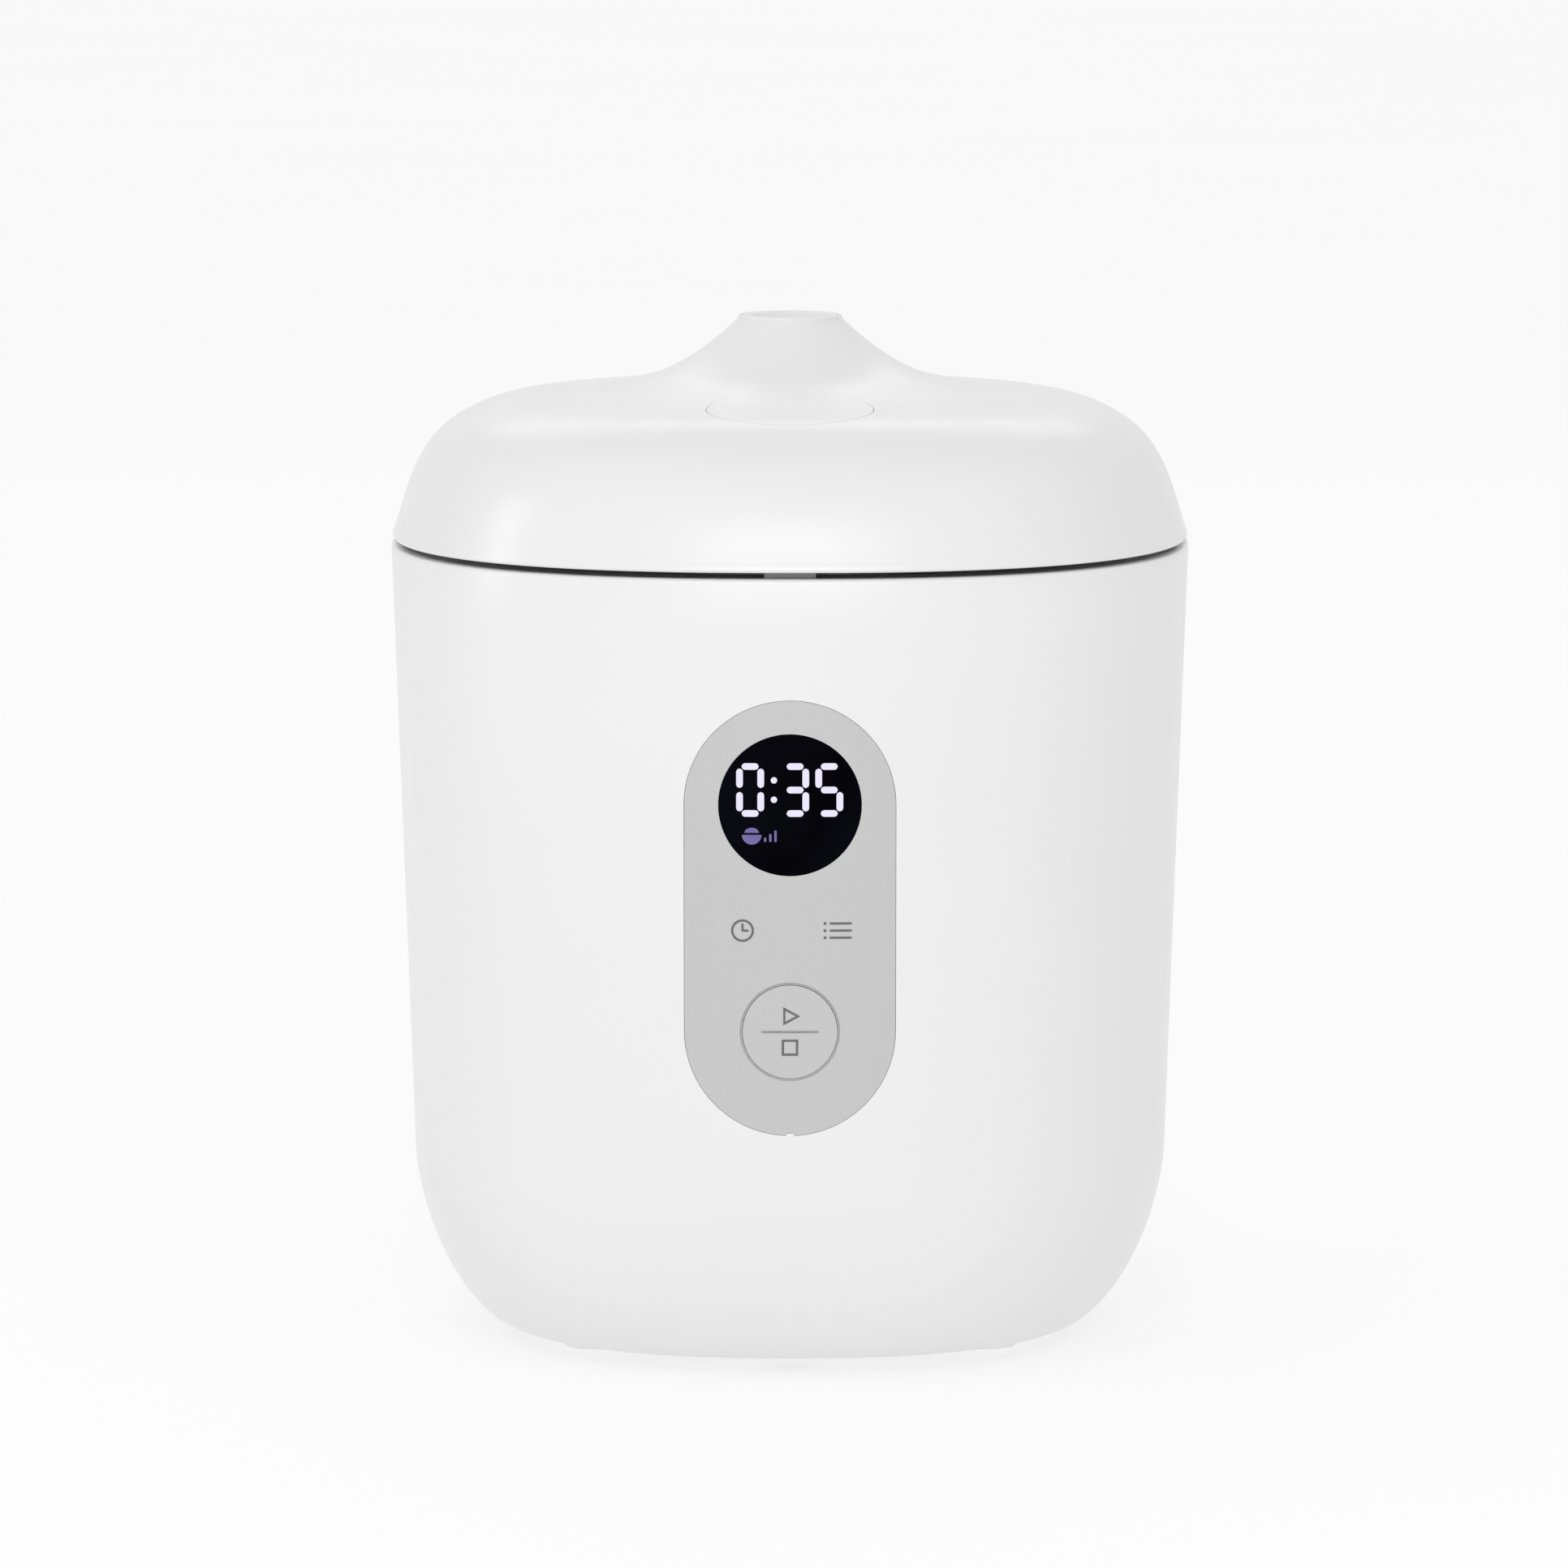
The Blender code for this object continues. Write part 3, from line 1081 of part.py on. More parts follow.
def make_hinge(white, steel):
    housing = lid_envelope("hinge_housing", white)
    round_bar = cylinder("housing_bar", (-HOUSING_HALF_LENGTH, HINGE_Y, HINGE_Z),
                         (HOUSING_HALF_LENGTH, HINGE_Y, HINGE_Z), HOUSING_RADIUS, segments=24)
    keep_inside(housing, round_bar)
    base = box("housing_base", (-HOUSING_HALF_LENGTH + 0.001, HINGE_Y - 0.0062, DECK_TOP_Z + GAP),
               (HOUSING_HALF_LENGTH - 0.001, HINGE_Y - 0.0005, LID_RIM_Z + GAP))
    fuse(housing, base)
    for side, sign in (("left", -1), ("right", 1)):
        start = sign * KNUCKLE_X - KNUCKLE_LENGTH / 2 - 0.0006
        end = start + KNUCKLE_LENGTH + 0.0012
        ring = cylinder("knuckle_space_" + side, (start, HINGE_Y, HINGE_Z), (end, HINGE_Y, HINGE_Z),
                        KNUCKLE_RADIUS + 0.0006, segments=20)
        sweep = box("arm_space_" + side, (start + 0.0001, HINGE_Y - 0.020, LID_RIM_Z + 0.0010),
                    (end - 0.0001, HINGE_Y + 0.0045, HINGE_Z + 0.020))
        cut(housing, ring, sweep)
    bore = cylinder("housing_bore", (-HINGE_PIN_HALF_LENGTH - GAP, HINGE_Y, HINGE_Z),
                    (HINGE_PIN_HALF_LENGTH + GAP, HINGE_Y, HINGE_Z), HINGE_PIN_RADIUS + GAP, segments=14)
    spring_space = cylinder("spring_space", (-0.0085, HINGE_Y, HINGE_Z), (0.0085, HINGE_Y, HINGE_Z), 0.0040,
                            segments=16)
    cut(housing, bore, spring_space)
    pin = cylinder("hinge_pin", (-HINGE_PIN_HALF_LENGTH, HINGE_Y, HINGE_Z),
                   (HINGE_PIN_HALF_LENGTH, HINGE_Y, HINGE_Z), HINGE_PIN_RADIUS, steel, 14)
    springs = []
    for side, start in (("left", -0.0078), ("right", 0.0008)):
        springs.append(coil("hinge_spring_" + side, (start, HINGE_Y, HINGE_Z), 0.0028, 0.0070, 3, 0.0005,
                            steel, axis="X"))
    return [housing, pin] + springs


# ---------------------------------------------------------------- assembly

def main():
    global PARTS, CUTTERS
    for thing in list(bpy.data.objects):
        bpy.data.objects.remove(thing)
    PARTS = new_collection("mini_rice_cooker")
    CUTTERS = new_collection("cutters")
    white = make_material("white_plastic", (0.86, 0.86, 0.86), 0.35)
    silver = make_material("silver_grey", (0.60, 0.60, 0.60), 0.45)
    black = make_material("black_gloss", (0.01, 0.01, 0.014), 0.12)
    dark = make_material("black_plastic", (0.03, 0.03, 0.03), 0.50)
    grey = make_material("grey_plastic", (0.40, 0.41, 0.42), 0.50)
    green = make_material("board_green", (0.03, 0.20, 0.08), 0.40)
    copper = make_material("transformer_yellow", (0.55, 0.40, 0.08), 0.50)
    rubber = make_material("foot_rubber", (0.72, 0.73, 0.74), 0.55)
    silicone = make_material("silicone", (0.80, 0.81, 0.82), 0.50)
    steel = make_material("steel", (0.62, 0.62, 0.63), 0.28, 1.0)
    aluminium = make_material("aluminium", (0.78, 0.78, 0.79), 0.38, 1.0)
    coating = make_material("pot_coating", (0.09, 0.09, 0.10), 0.42, 0.3)
    lead_white = make_material("lead_sleeve", (0.85, 0.84, 0.80), 0.60)

    make_outer_body(white)
    make_base(white, rubber, steel)
    make_deck(white, steel)
    pot = make_pot(coating)
    parent_to("pot_axis", (0, 0, POT_BOTTOM_Z), [pot])
    make_well(aluminium)
    make_heater(aluminium, steel)
    make_sensor(aluminium, grey, steel)
    _, board_back = make_panel(silver, black, green, grey, steel)
    make_power(green, dark, steel, copper, lead_white, board_back)
    make_hinge(white, steel)

    cover = make_cover(white)
    liner_and_screws = make_liner(white, steel)
    inner_lid = make_inner_lid(aluminium, silicone)
    cap, seal = make_steam_cap(white, silicone)
    button, spring = make_button(white, steel)
    lever, pin = make_latch(steel)
    lid_pieces = [cover, seal, spring, pin] + liner_and_screws + inner_lid
    lid_pieces += [cap.parent, button.parent, lever.parent]
    parent_to("lid_axis", (0, HINGE_Y, HINGE_Z), lid_pieces)


main()
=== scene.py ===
"""Visible shapes, finishes, light and camera for the mini rice cooker.

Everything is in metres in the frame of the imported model: Z up, front facing -Y.
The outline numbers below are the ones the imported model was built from, so that the
finer surfaces made here lie in the same places as its solids.
"""

import math

import bmesh
import bpy
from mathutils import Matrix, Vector
from mathutils.bvhtree import BVHTree
from mathutils.interpolate import poly_3d_calc


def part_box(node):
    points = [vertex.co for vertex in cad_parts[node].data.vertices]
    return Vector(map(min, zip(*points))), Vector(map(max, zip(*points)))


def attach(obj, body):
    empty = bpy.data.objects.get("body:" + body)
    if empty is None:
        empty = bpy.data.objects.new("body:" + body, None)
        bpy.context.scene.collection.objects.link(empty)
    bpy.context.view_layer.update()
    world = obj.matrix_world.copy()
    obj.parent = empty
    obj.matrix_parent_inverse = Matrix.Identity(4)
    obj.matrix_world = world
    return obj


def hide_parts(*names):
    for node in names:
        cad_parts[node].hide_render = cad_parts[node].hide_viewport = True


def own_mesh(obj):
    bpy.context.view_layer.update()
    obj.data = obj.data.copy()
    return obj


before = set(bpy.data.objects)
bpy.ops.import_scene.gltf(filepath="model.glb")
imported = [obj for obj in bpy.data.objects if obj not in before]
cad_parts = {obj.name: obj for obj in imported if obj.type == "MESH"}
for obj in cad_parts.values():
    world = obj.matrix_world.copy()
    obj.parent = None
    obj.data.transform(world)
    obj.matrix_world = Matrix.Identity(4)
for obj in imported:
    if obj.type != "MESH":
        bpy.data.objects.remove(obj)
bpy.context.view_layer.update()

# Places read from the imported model
BODY_LOW, BODY_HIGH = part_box("outer_body")
LID_LOW, LID_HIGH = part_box("lid_cover")
PANEL_LOW, PANEL_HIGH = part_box("panel_fascia")
LENS_LOW, LENS_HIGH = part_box("display_lens")
KEY_LOW, KEY_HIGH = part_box("cook_key")
BUTTON_LOW, BUTTON_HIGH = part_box("release_button")
POT_LOW, POT_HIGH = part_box("inner_pot")
DECK_LOW, DECK_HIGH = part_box("top_deck")
LINER_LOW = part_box("lid_liner")[0]
PLATE_LOW, PLATE_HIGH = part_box("inner_lid_plate")
INLET_LOW, INLET_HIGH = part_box("power_inlet")
KEEPER_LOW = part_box("latch_keeper")[0]
HINGE_PIN_LOW, HINGE_PIN_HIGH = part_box("hinge_pin")
HOUSING_LOW, HOUSING_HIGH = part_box("hinge_housing")
PAD_LOW, PAD_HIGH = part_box("touch_pad_right")

HALF_WIDTH = BODY_HIGH.x
BODY_TOP = BODY_HIGH.z
BODY_BOTTOM = BODY_LOW.z
RIM_Z = LID_LOW.z
LID_TOP = LID_HIGH.z

# Meshes: steps round a turned piece, the angle of a sharp edge and how near a face's own guide is
STEPS = 192
SHARP_ANGLE = 38
GUIDE_REACH = 0.001
GUIDE_GAP = 3e-5
GUIDE_LIKENESS = 0.85

# Outline of the body
PLAN_POWER = 2.42
BODY_TAPER = 0.0042
CORNER_Z = BODY_BOTTOM + 0.0348
CORNER_DEPTH = 0.0180
CORNER_POWER = 1.242
BODY_WALL = 0.0024
BASE_LIP = 0.0018
EDGE_ROUND = 0.0008

# Outline of the lid, with its slopes in degrees below level
LID_WALL = 0.0022
VENT_RADIUS = 0.01045
VENT_BORE = 0.0099
CAP_SEAM = 0.0001
CAP_DISH = 0.0018
CAP_WALL = 0.0014
STEAM_HOLE_REACH = 0.0034
STEAM_HOLE_RADIUS = 0.0011
LIP_HEIGHT = 0.0007
CONE_FOOT_RADIUS = 0.0294
CONE_FOOT_Z = RIM_Z + 0.0312
SHOULDER_RADIUS = HALF_WIDTH - 0.0134
SHOULDER_Z = RIM_Z + 0.02335
LIP_SLOPE = 46.0
FOOT_SLOPE = 13.1
SHOULDER_SLOPE = 29.7
RIM_SLOPE = 70.0
LID_ROUND_RADIUS = 0.024
NECK_OUTER = 0.0119
NECK_BOTTOM = LID_TOP - 0.0230

# Control panel
PANEL_SIZE = (PANEL_HIGH.x - PANEL_LOW.x, PANEL_HIGH.z - PANEL_LOW.z)
PANEL_Z = (PANEL_LOW.z + PANEL_HIGH.z) / 2
LENS_RADIUS = (LENS_HIGH.z - LENS_LOW.z) / 2
LENS_Z = (LENS_LOW.z + LENS_HIGH.z) / 2
KEY_RADIUS = (KEY_HIGH.z - KEY_LOW.z) / 2
KEY_Z = (KEY_LOW.z + KEY_HIGH.z) / 2
TOUCH_X = (PAD_LOW.x + PAD_HIGH.x) / 2
TOUCH_Z = (PAD_LOW.z + PAD_HIGH.z) / 2
KEY_STEM_RADIUS = 0.0018
KEY_RING_WIDTH = 0.00052
KEY_RING_DEPTH = 0.00045
KEY_HOLE_SEAM = 0.00008
LENS_SEAM = 0.00006
PANEL_SEAM = 0.00008
NOTCH_HALF = 0.0008
NOTCH_TOP_HALF = 0.0006
NOTCH_HEIGHT = 0.0005

# Printed and lit marks
MARK_LIFT = 0.00003
MARK_DEPTH = 0.00002
DIGIT_WIDTH = 0.0054
DIGIT_HEIGHT = 0.0105
DIGIT_LINE = 0.0013
DIGIT_RISE = 0.0030
DIGIT_SEGMENTS = {"0": "abcdef", "3": "abgcd", "5": "afgcd"}
DIGIT_PLACES = (("0", -0.0077), ("3", 0.0010), ("5", 0.0076))
COLON_X = -0.0031
COLON_RISE = 0.0019
COLON_DOT = 0.00062
BOWL_X = -0.0074
BOWL_DROP = 0.0088
BOWL_RADIUS = 0.0019
SIGN_LINE = 0.00044
CLOCK_RADIUS = 0.0020
LIST_PITCH = 0.0014
KEY_SIGN_RISE = 0.0031
STOP_HALF = 0.0016

# Hinge and button
HINGE_Y = (HINGE_PIN_LOW.y + HINGE_PIN_HIGH.y) / 2
HINGE_Z = (HINGE_PIN_LOW.z + HINGE_PIN_HIGH.z) / 2
HOUSING_RADIUS = 0.0097
HOUSING_HALF = HOUSING_HIGH.x
KNUCKLE_X = 0.0150
KNUCKLE_LENGTH = 0.0060
KNUCKLE_RADIUS = 0.0048
KNUCKLE_ROOM = 0.0006
BUTTON_Y = (BUTTON_LOW.y + BUTTON_HIGH.y) / 2
BUTTON_HALF = ((BUTTON_HIGH.x - BUTTON_LOW.x) / 2, (BUTTON_HIGH.y - BUTTON_LOW.y) / 2)
BUTTON_SEAM = 0.00012
BUTTON_SHIFT = 0.00009
BUTTON_WALL = 0.0020
BUTTON_STEM_RADIUS = 0.0020
STEM_Y = -0.0500
PIN_BORE = 0.0018
HINGE_SPRING_ROOM = 0.0040
HINGE_SPRING_HALF = 0.0085
LATCH_SLOT_HALF = 0.0060
LATCH_SLOT_END = -0.0708
LATCH_NOTCH_HALF = 0.0075
SIDES = ((-1, "left"), (1, "right"))

# Liner, feet, pot, deck and inner plate
LINER_RECESS = 0.0041
LINER_SKIN = 0.0015
LINER_EDGE = 0.0020
LINER_HOLE = 0.0060
FOOT_POWER = 3.2
FOOT_FLARE = 0.0023
FOOT_HOLLOW = 0.00035
POT_WALL = 0.0012
POT_CORNER = 0.0140
POT_FLANGE = 0.0058
LEVEL_START = 0.022
LEVEL_PITCH = 0.011
LEVEL_WIDTH = 0.0006
LEVEL_PROUD = 0.00004
DECK_GAP = 0.0012
DECK_SKIN = 0.0020
DECK_SKIRT = 0.0016
PLATE_RINGS = (0.018, 0.042)
PLATE_RING_RISE = 0.0004
PLATE_HOLE = 0.0064

# Springs that are pressed
SPRING_WIRE = 0.0005
SPRING_TURNS = 4
SPRING_STEPS = 24

# Room light: straight ahead, to the sides and how sharply it falls off; the camera's tilt in degrees
ROOM_LIGHT = 0.91
SIDE_LIGHT = 0.58
SIDE_FALL = 4.0
CAMERA_PLACE = (0.0, -1.8, 0.346)
CAMERA_TILT = 7.48


# ---- finishes

class Paint:
    """One procedural finish, built up from textures in the piece's own space."""

    def __init__(self, name, roughness=0.5, metallic=0.0):
        self.material = bpy.data.materials.new(name)
        self.material.use_nodes = True
        tree = self.material.node_tree
        self.nodes = tree.nodes
        self.links = tree.links
        self.shader = tree.nodes["Principled BSDF"]
        self.shader.inputs["Roughness"].default_value = roughness
        self.shader.inputs["Metallic"].default_value = metallic
        self.place = tree.nodes.new("ShaderNodeTexCoord").outputs["Object"]
        self.normal = None

    def set(self, **values):
        for name, value in values.items():
            self.shader.inputs[name.replace("_", " ")].default_value = value

    def node(self, kind, **inputs):
        """A new node with these inputs set."""
        made = self.nodes.new("ShaderNode" + kind)
        for name, value in inputs.items():
            made.inputs[name.replace("_", " ")].default_value = value
        return made

    def stretched(self, scale):
        mapping = self.node("Mapping", Scale=scale)
        self.links.new(self.place, mapping.inputs["Vector"])
        return mapping.outputs["Vector"]

    def texture(self, kind, place=None, **inputs):
        """A texture read in the piece's own space, or in a stretched copy of it."""
        made = self.node("Tex" + kind, **inputs)
        self.links.new(self.place if place is None else place, made.inputs["Vector"])
        return made

    def noise(self, scale, detail=2.0, stretch=None):
        place = None if stretch is None else self.stretched(stretch)
        return self.texture("Noise", place, Scale=scale, Detail=detail).outputs["Fac"]

    def cells(self, scale):
        return self.texture("Voronoi", Scale=scale).outputs["Distance"]

    def rings(self, scale, distortion):
        """Fine turning marks round the Z axis."""
        texture = self.texture("Wave", Scale=scale, Distortion=distortion)
        texture.wave_type = "RINGS"
        texture.rings_direction = "Z"
        return texture.outputs["Fac"]

    def bands(self, scale, direction, distortion):
        texture = self.texture("Wave", Scale=scale, Distortion=distortion)
        texture.bands_direction = direction
        return texture.outputs["Fac"]

    def color(self, fac, stops):
        ramp = self.node("ValToRGB")
        elements = ramp.color_ramp.elements
        while len(elements) < len(stops):
            elements.new(0.5)
        for element, (position, color) in zip(elements, stops):
            element.position = position
            element.color = (*color, 1.0)
        self.links.new(fac, ramp.inputs["Fac"])
        self.links.new(ramp.outputs["Color"], self.shader.inputs["Base Color"])

    def mottle(self, low, high, scale, detail=2.0):
        """A colour that drifts between two tones."""
        self.color(self.noise(scale, detail), [(0.3, low), (0.7, high)])

    def gloss(self, fac, low, high):
        """Let the roughness run between two values as a texture goes from dark to light."""
        spread = self.node("MapRange", From_Min=0.3, From_Max=0.7, To_Min=low, To_Max=high)
        self.links.new(fac, spread.inputs["Value"])
        self.links.new(spread.outputs["Result"], self.shader.inputs["Roughness"])

    def gloss_noise(self, scale, detail, low, high):
        self.gloss(self.noise(scale, detail), low, high)

    def grain(self, scale, detail, strength, distance):
        self.relief(self.noise(scale, detail), strength, distance)

    def relief(self, height, strength, distance):
        bump = self.node("Bump", Strength=strength, Distance=distance)
        self.links.new(height, bump.inputs["Height"])
        if self.normal is not None:
            self.links.new(self.normal, bump.inputs["Normal"])
        self.normal = bump.outputs["Normal"]
        self.links.new(self.normal, self.shader.inputs["Normal"])


def grey(value, blue=0.0):
    return (value, value, value + blue)


def moulded(name, color, roughness, grain, depth):
    """Moulded plastic: faint flow mottling, uneven gloss and a fine spark-eroded grain."""
    low, high = color
    paint = Paint(name, roughness)
    paint.mottle(low, high, 14.0, 3.0)
    paint.gloss_noise(90.0, 4.0, roughness - 0.05, roughness + 0.06)
    paint.grain(grain, 3.0, 0.25, depth)
    return paint


def white_plastic(name, low, high, roughness):
    paint = moulded(name, (grey(low), grey(high)), roughness, 2600.0, 0.000012)
    paint.grain(26.0, 1.0, 0.06, 0.0004)
    paint.set(IOR=1.5, Coat_Weight=0.5, Coat_Roughness=0.26)
    return paint.material


def silver_film():
    """Grey metallic paint under a satin film, with fine flakes."""
    paint = Paint("panel_silver_paint", 0.42, 0.15)
    paint.color(paint.cells(3800.0), [(0.1, grey(0.505)), (0.6, grey(0.47))])
    paint.gloss_noise(160.0, 3.0, 0.38, 0.50)
    paint.grain(4200.0, 2.0, 0.15, 0.000008)
    return paint.material


def black_glass():
    paint = Paint("display_black_glass", 0.16)
    paint.mottle((0.0006, 0.0006, 0.0016), (0.002, 0.002, 0.005), 60.0)
    paint.gloss_noise(220.0, 3.0, 0.08, 0.14)
    paint.grain(110.0, 2.0, 0.04, 0.00005)
    paint.set(Specular_IOR_Level=0.015)
    return paint.material


def lit_segment(name, color, strength):
    """A lit display mark: a pale diffuser that glows."""
    paint = Paint(name, 0.4)
    paint.mottle(grey(0.020), grey(0.035), 900.0)
    paint.set(Specular_IOR_Level=0.1, Emission_Color=(*color, 1.0), Emission_Strength=strength)
    return paint.material


def ink(name, value):
    """Screen-printed ink with a slightly uneven coat."""
    paint = Paint(name, 0.55)
    paint.mottle(grey(value), grey(value * 1.25), 1800.0, 3.0)
    paint.grain(5200.0, 2.0, 0.2, 0.000006)
    return paint.material


def rubber():
    paint = moulded("foot_rubber_paint", (grey(0.80), grey(0.84)), 0.58, 1700.0, 0.00003)
    paint.set(Subsurface_Weight=0.15, Subsurface_Scale=0.002)
    return paint.material


def silicone():
    paint = moulded("silicone_paint", (grey(0.60, 0.01), grey(0.68, 0.01)), 0.48, 1400.0, 0.00002)
    paint.set(Subsurface_Weight=0.25, Subsurface_Scale=0.002)
    return paint.material


def turned_metal(name, low, high, roughness, pitch):
    """Spun metal with fine turning marks round its axis."""
    paint = Paint(name, roughness, 1.0)
    marks = paint.rings(pitch, 0.6)
    paint.color(marks, [(0.2, grey(low)), (0.8, grey(high))])
    paint.gloss_noise(70.0, 2.0, roughness - 0.03, roughness + 0.04)
    paint.relief(marks, 0.05, 0.00001)
    return paint.material


def plated_steel(name, low, high):
    """Drawn, plated steel with fine lines along X."""
    paint = Paint(name, 0.3, 1.0)
    lines = paint.noise(900.0, 5.0, stretch=(0.05, 1.0, 1.0))
    paint.color(lines, [(0.3, grey(low, 0.01)), (0.7, grey(high, 0.01))])
    paint.gloss(lines, 0.22, 0.40)
    paint.relief(lines, 0.15, 0.00002)
    return paint.material


def pot_inside():
    """Dark non-stick coating with pale mineral flecks."""
    paint = Paint("pot_coating_inside", 0.42, 0.1)
    paint.color(paint.cells(900.0), [(0.0, grey(0.34)), (0.13, grey(0.20)), (0.20, grey(0.045)),
                                     (1.0, grey(0.030))])
    paint.gloss_noise(240.0, 4.0, 0.32, 0.50)
    paint.grain(1500.0, 3.0, 0.30, 0.00002)
    return paint.material


def pot_outside():
    """Hard-anodised grey with a light orange peel."""
    paint = Paint("pot_coating_outside", 0.40, 0.55)
    paint.mottle(grey(0.13), grey(0.17), 500.0, 4.0)
    paint.gloss_noise(180.0, 3.0, 0.33, 0.46)
    paint.grain(1100.0, 2.0, 0.2, 0.00002)
    return paint.material


def circuit_board():
    """Green solder mask over a grid of tracks."""
    paint = Paint("board_green_paint", 0.38)
    tracks = paint.texture("Brick", paint.stretched((1.0, 0.55, 0.8)), Scale=150.0, Mortar_Size=0.045,
                           Color1=(0.012, 0.10, 0.035, 1.0), Color2=(0.018, 0.13, 0.045, 1.0),
                           Mortar=(0.06, 0.26, 0.10, 1.0))
    paint.links.new(tracks.outputs["Color"], paint.shader.inputs["Base Color"])
    paint.gloss_noise(300.0, 2.0, 0.30, 0.45)
    paint.relief(tracks.outputs["Fac"], 0.3, 0.00004)
    return paint.material


def wound_tape():
    paint = Paint("transformer_tape_paint", 0.45)
    wraps = paint.bands(260.0, "Z", 0.5)
    paint.color(wraps, [(0.1, (0.42, 0.27, 0.03)), (0.6, (0.62, 0.44, 0.08))])
    paint.gloss_noise(400.0, 3.0, 0.35, 0.55)
    paint.relief(wraps, 0.4, 0.00008)
    return paint.material


def braided_sleeve():
    paint = Paint("lead_sleeve_paint", 0.65)
    weave = paint.bands(700.0, "DIAGONAL", 0.3)
    paint.color(weave, [(0.2, (0.66, 0.65, 0.60)), (0.8, (0.86, 0.85, 0.80))])
    paint.gloss_noise(500.0, 3.0, 0.55, 0.75)
    paint.relief(weave, 0.5, 0.00006)
    return paint.material


def make_finishes():
    """The finish for each material slot, and a few for details."""
    return {
        "body_white": white_plastic("body_white_paint", 0.715, 0.727, 0.36),
        "lid_white": white_plastic("lid_white_paint", 0.715, 0.727, 0.34),
        "inner_white": moulded("inner_white_paint", (grey(0.74), grey(0.76)), 0.48, 1500.0, 0.00002).material,
        "foot_rubber": rubber(),
        "panel_silver": silver_film(),
        "display_black": black_glass(),
        "grey_plastic": moulded("grey_plastic_paint", (grey(0.30), grey(0.36)), 0.50, 1300.0,
                                0.00003).material,
        "board_green": circuit_board(),
        "dark_plastic": moulded("dark_plastic_paint", (grey(0.022), grey(0.034)), 0.46, 1200.0,
                                0.00003).material,
        "transformer_tape": wound_tape(),
        "steel": plated_steel("steel_paint", 0.52, 0.68),
        # Darker steel for the latch parts: a dark plating used as painted shade in the seam between lid and
        # body
        "dark_steel": plated_steel("dark_steel_paint", 0.16, 0.24),
        "aluminium": turned_metal("aluminium_paint", 0.66, 0.80, 0.37, 260.0),
        "pot_coating": pot_inside(),
        "silicone": silicone(),
        "lead_sleeve": braided_sleeve(),
        "pot_outside": pot_outside(),
        "digits": lit_segment("display_digits_glow", (0.87, 0.83, 1.0), 0.93),
        "dim_mark": lit_segment("display_mark_glow", (0.36, 0.28, 0.80), 0.42),
        "print": ink("panel_print_ink", 0.10),
        "thin_print": ink("key_print_ink", 0.22),
        # Painted shade: a grey ink that darkens the floor of the groove round the key
        "groove_painted_shade": ink("key_groove_shade_paint", 0.30),
        "level_print": ink("pot_level_ink", 0.50),
    }


# ---- mesh tools

def new_object(name, data):
    made = bpy.data.objects.new(name, data)
    bpy.context.scene.collection.objects.link(made)
    return made


def solid(name, vertices, faces):
    """A named piece made of these points and faces."""
    mesh = bpy.data.meshes.new(name)
    mesh.from_pydata(vertices, [], faces)
    return new_object(name, tidy_mesh(mesh))


def tidy_mesh(mesh):
    """Weld, face outwards and mark the sharp edges."""
    shape = bmesh.new()
    shape.from_mesh(mesh)
    bmesh.ops.remove_doubles(shape, verts=shape.verts, dist=2e-6)
    bmesh.ops.dissolve_degenerate(shape, edges=shape.edges, dist=1e-6)
    bmesh.ops.recalc_face_normals(shape, faces=shape.faces)
    shape.to_mesh(mesh)
    shape.free()
    mesh.shade_smooth()
    mesh.set_sharp_from_angle(angle=math.radians(SHARP_ANGLE))
    return mesh


def plan_factor(angle, power):
    """How far the plan outline reaches at an angle, against its half width."""
    reach = abs(math.cos(angle)) ** power + abs(math.sin(angle)) ** power
    return reach ** (-1.0 / power)


def turned(name, profile, steps=STEPS, power_at=None, closed=True):
    """Spin a (radius, height) profile about Z, pressing its plan into a rounded square."""
    vertices = []
    for step in range(steps):
        angle = math.tau * step / steps
        for radius, height in profile:
            factor = 1.0
            if power_at is not None:
                factor = plan_factor(angle, power_at(radius))
            vertices.append((radius * factor * math.cos(angle), radius * factor * math.sin(angle), height))
    count = len(profile)
    spans = count if closed else count - 1
    faces = []
    for step in range(steps):
        here = step * count
        there = ((step + 1) % steps) * count
        for index in range(spans):
            after = (index + 1) % count
            faces.append((here + index, there + index, there + after, here + after))
    return solid(name, vertices, faces)


def prism(name, outline, axis, start, end):
    """Extrude an outline: (y, z) along X, (x, z) along Y or (x, y) along Z."""
    order = {"X": (2, 0, 1), "Y": (0, 2, 1), "Z": (0, 1, 2)}[axis]
    vertices = []
    for along in (start, end):
        for first, second in outline:
            point = (first, second, along)
            vertices.append(tuple(point[index] for index in order))
    count = len(outline)
    faces = [tuple(range(count)), tuple(range(2 * count - 1, count - 1, -1))]
    for index in range(count):
        after = (index + 1) % count
        faces.append((index, after, count + after, count + index))
    return solid(name, vertices, faces)


def block(name, low, high):
    outline = [(low[0], low[1]), (high[0], low[1]), (high[0], high[1]), (low[0], high[1])]
    return prism(name, outline, "Z", low[2], high[2])


def rounded_block(name, low, high, radius, axis="Z"):
    """A block with its four edges along an axis rounded."""
    first, second, along = {"X": (1, 2, 0), "Y": (0, 2, 1), "Z": (0, 1, 2)}[axis]
    left, right = low[first] + radius, high[first] - radius
    foot, head = low[second] + radius, high[second] - radius
    outline = []
    for index, centre in enumerate([(right, head), (left, head), (left, foot), (right, foot)]):
        outline += arc(centre, radius, 90 * index, 90 * index + 90, 6)
    return prism(name, outline, axis, low[along], high[along])


def bar(name, axis, centre, radius, start, end, segments=64):
    return prism(name, circle(centre, radius, segments), axis, start, end)


def hinge_bar(name, radius, start, end, segments=64):
    """A bar on the lid's hinge line."""
    return bar(name, "X", (HINGE_Y, HINGE_Z), radius, start, end, segments)


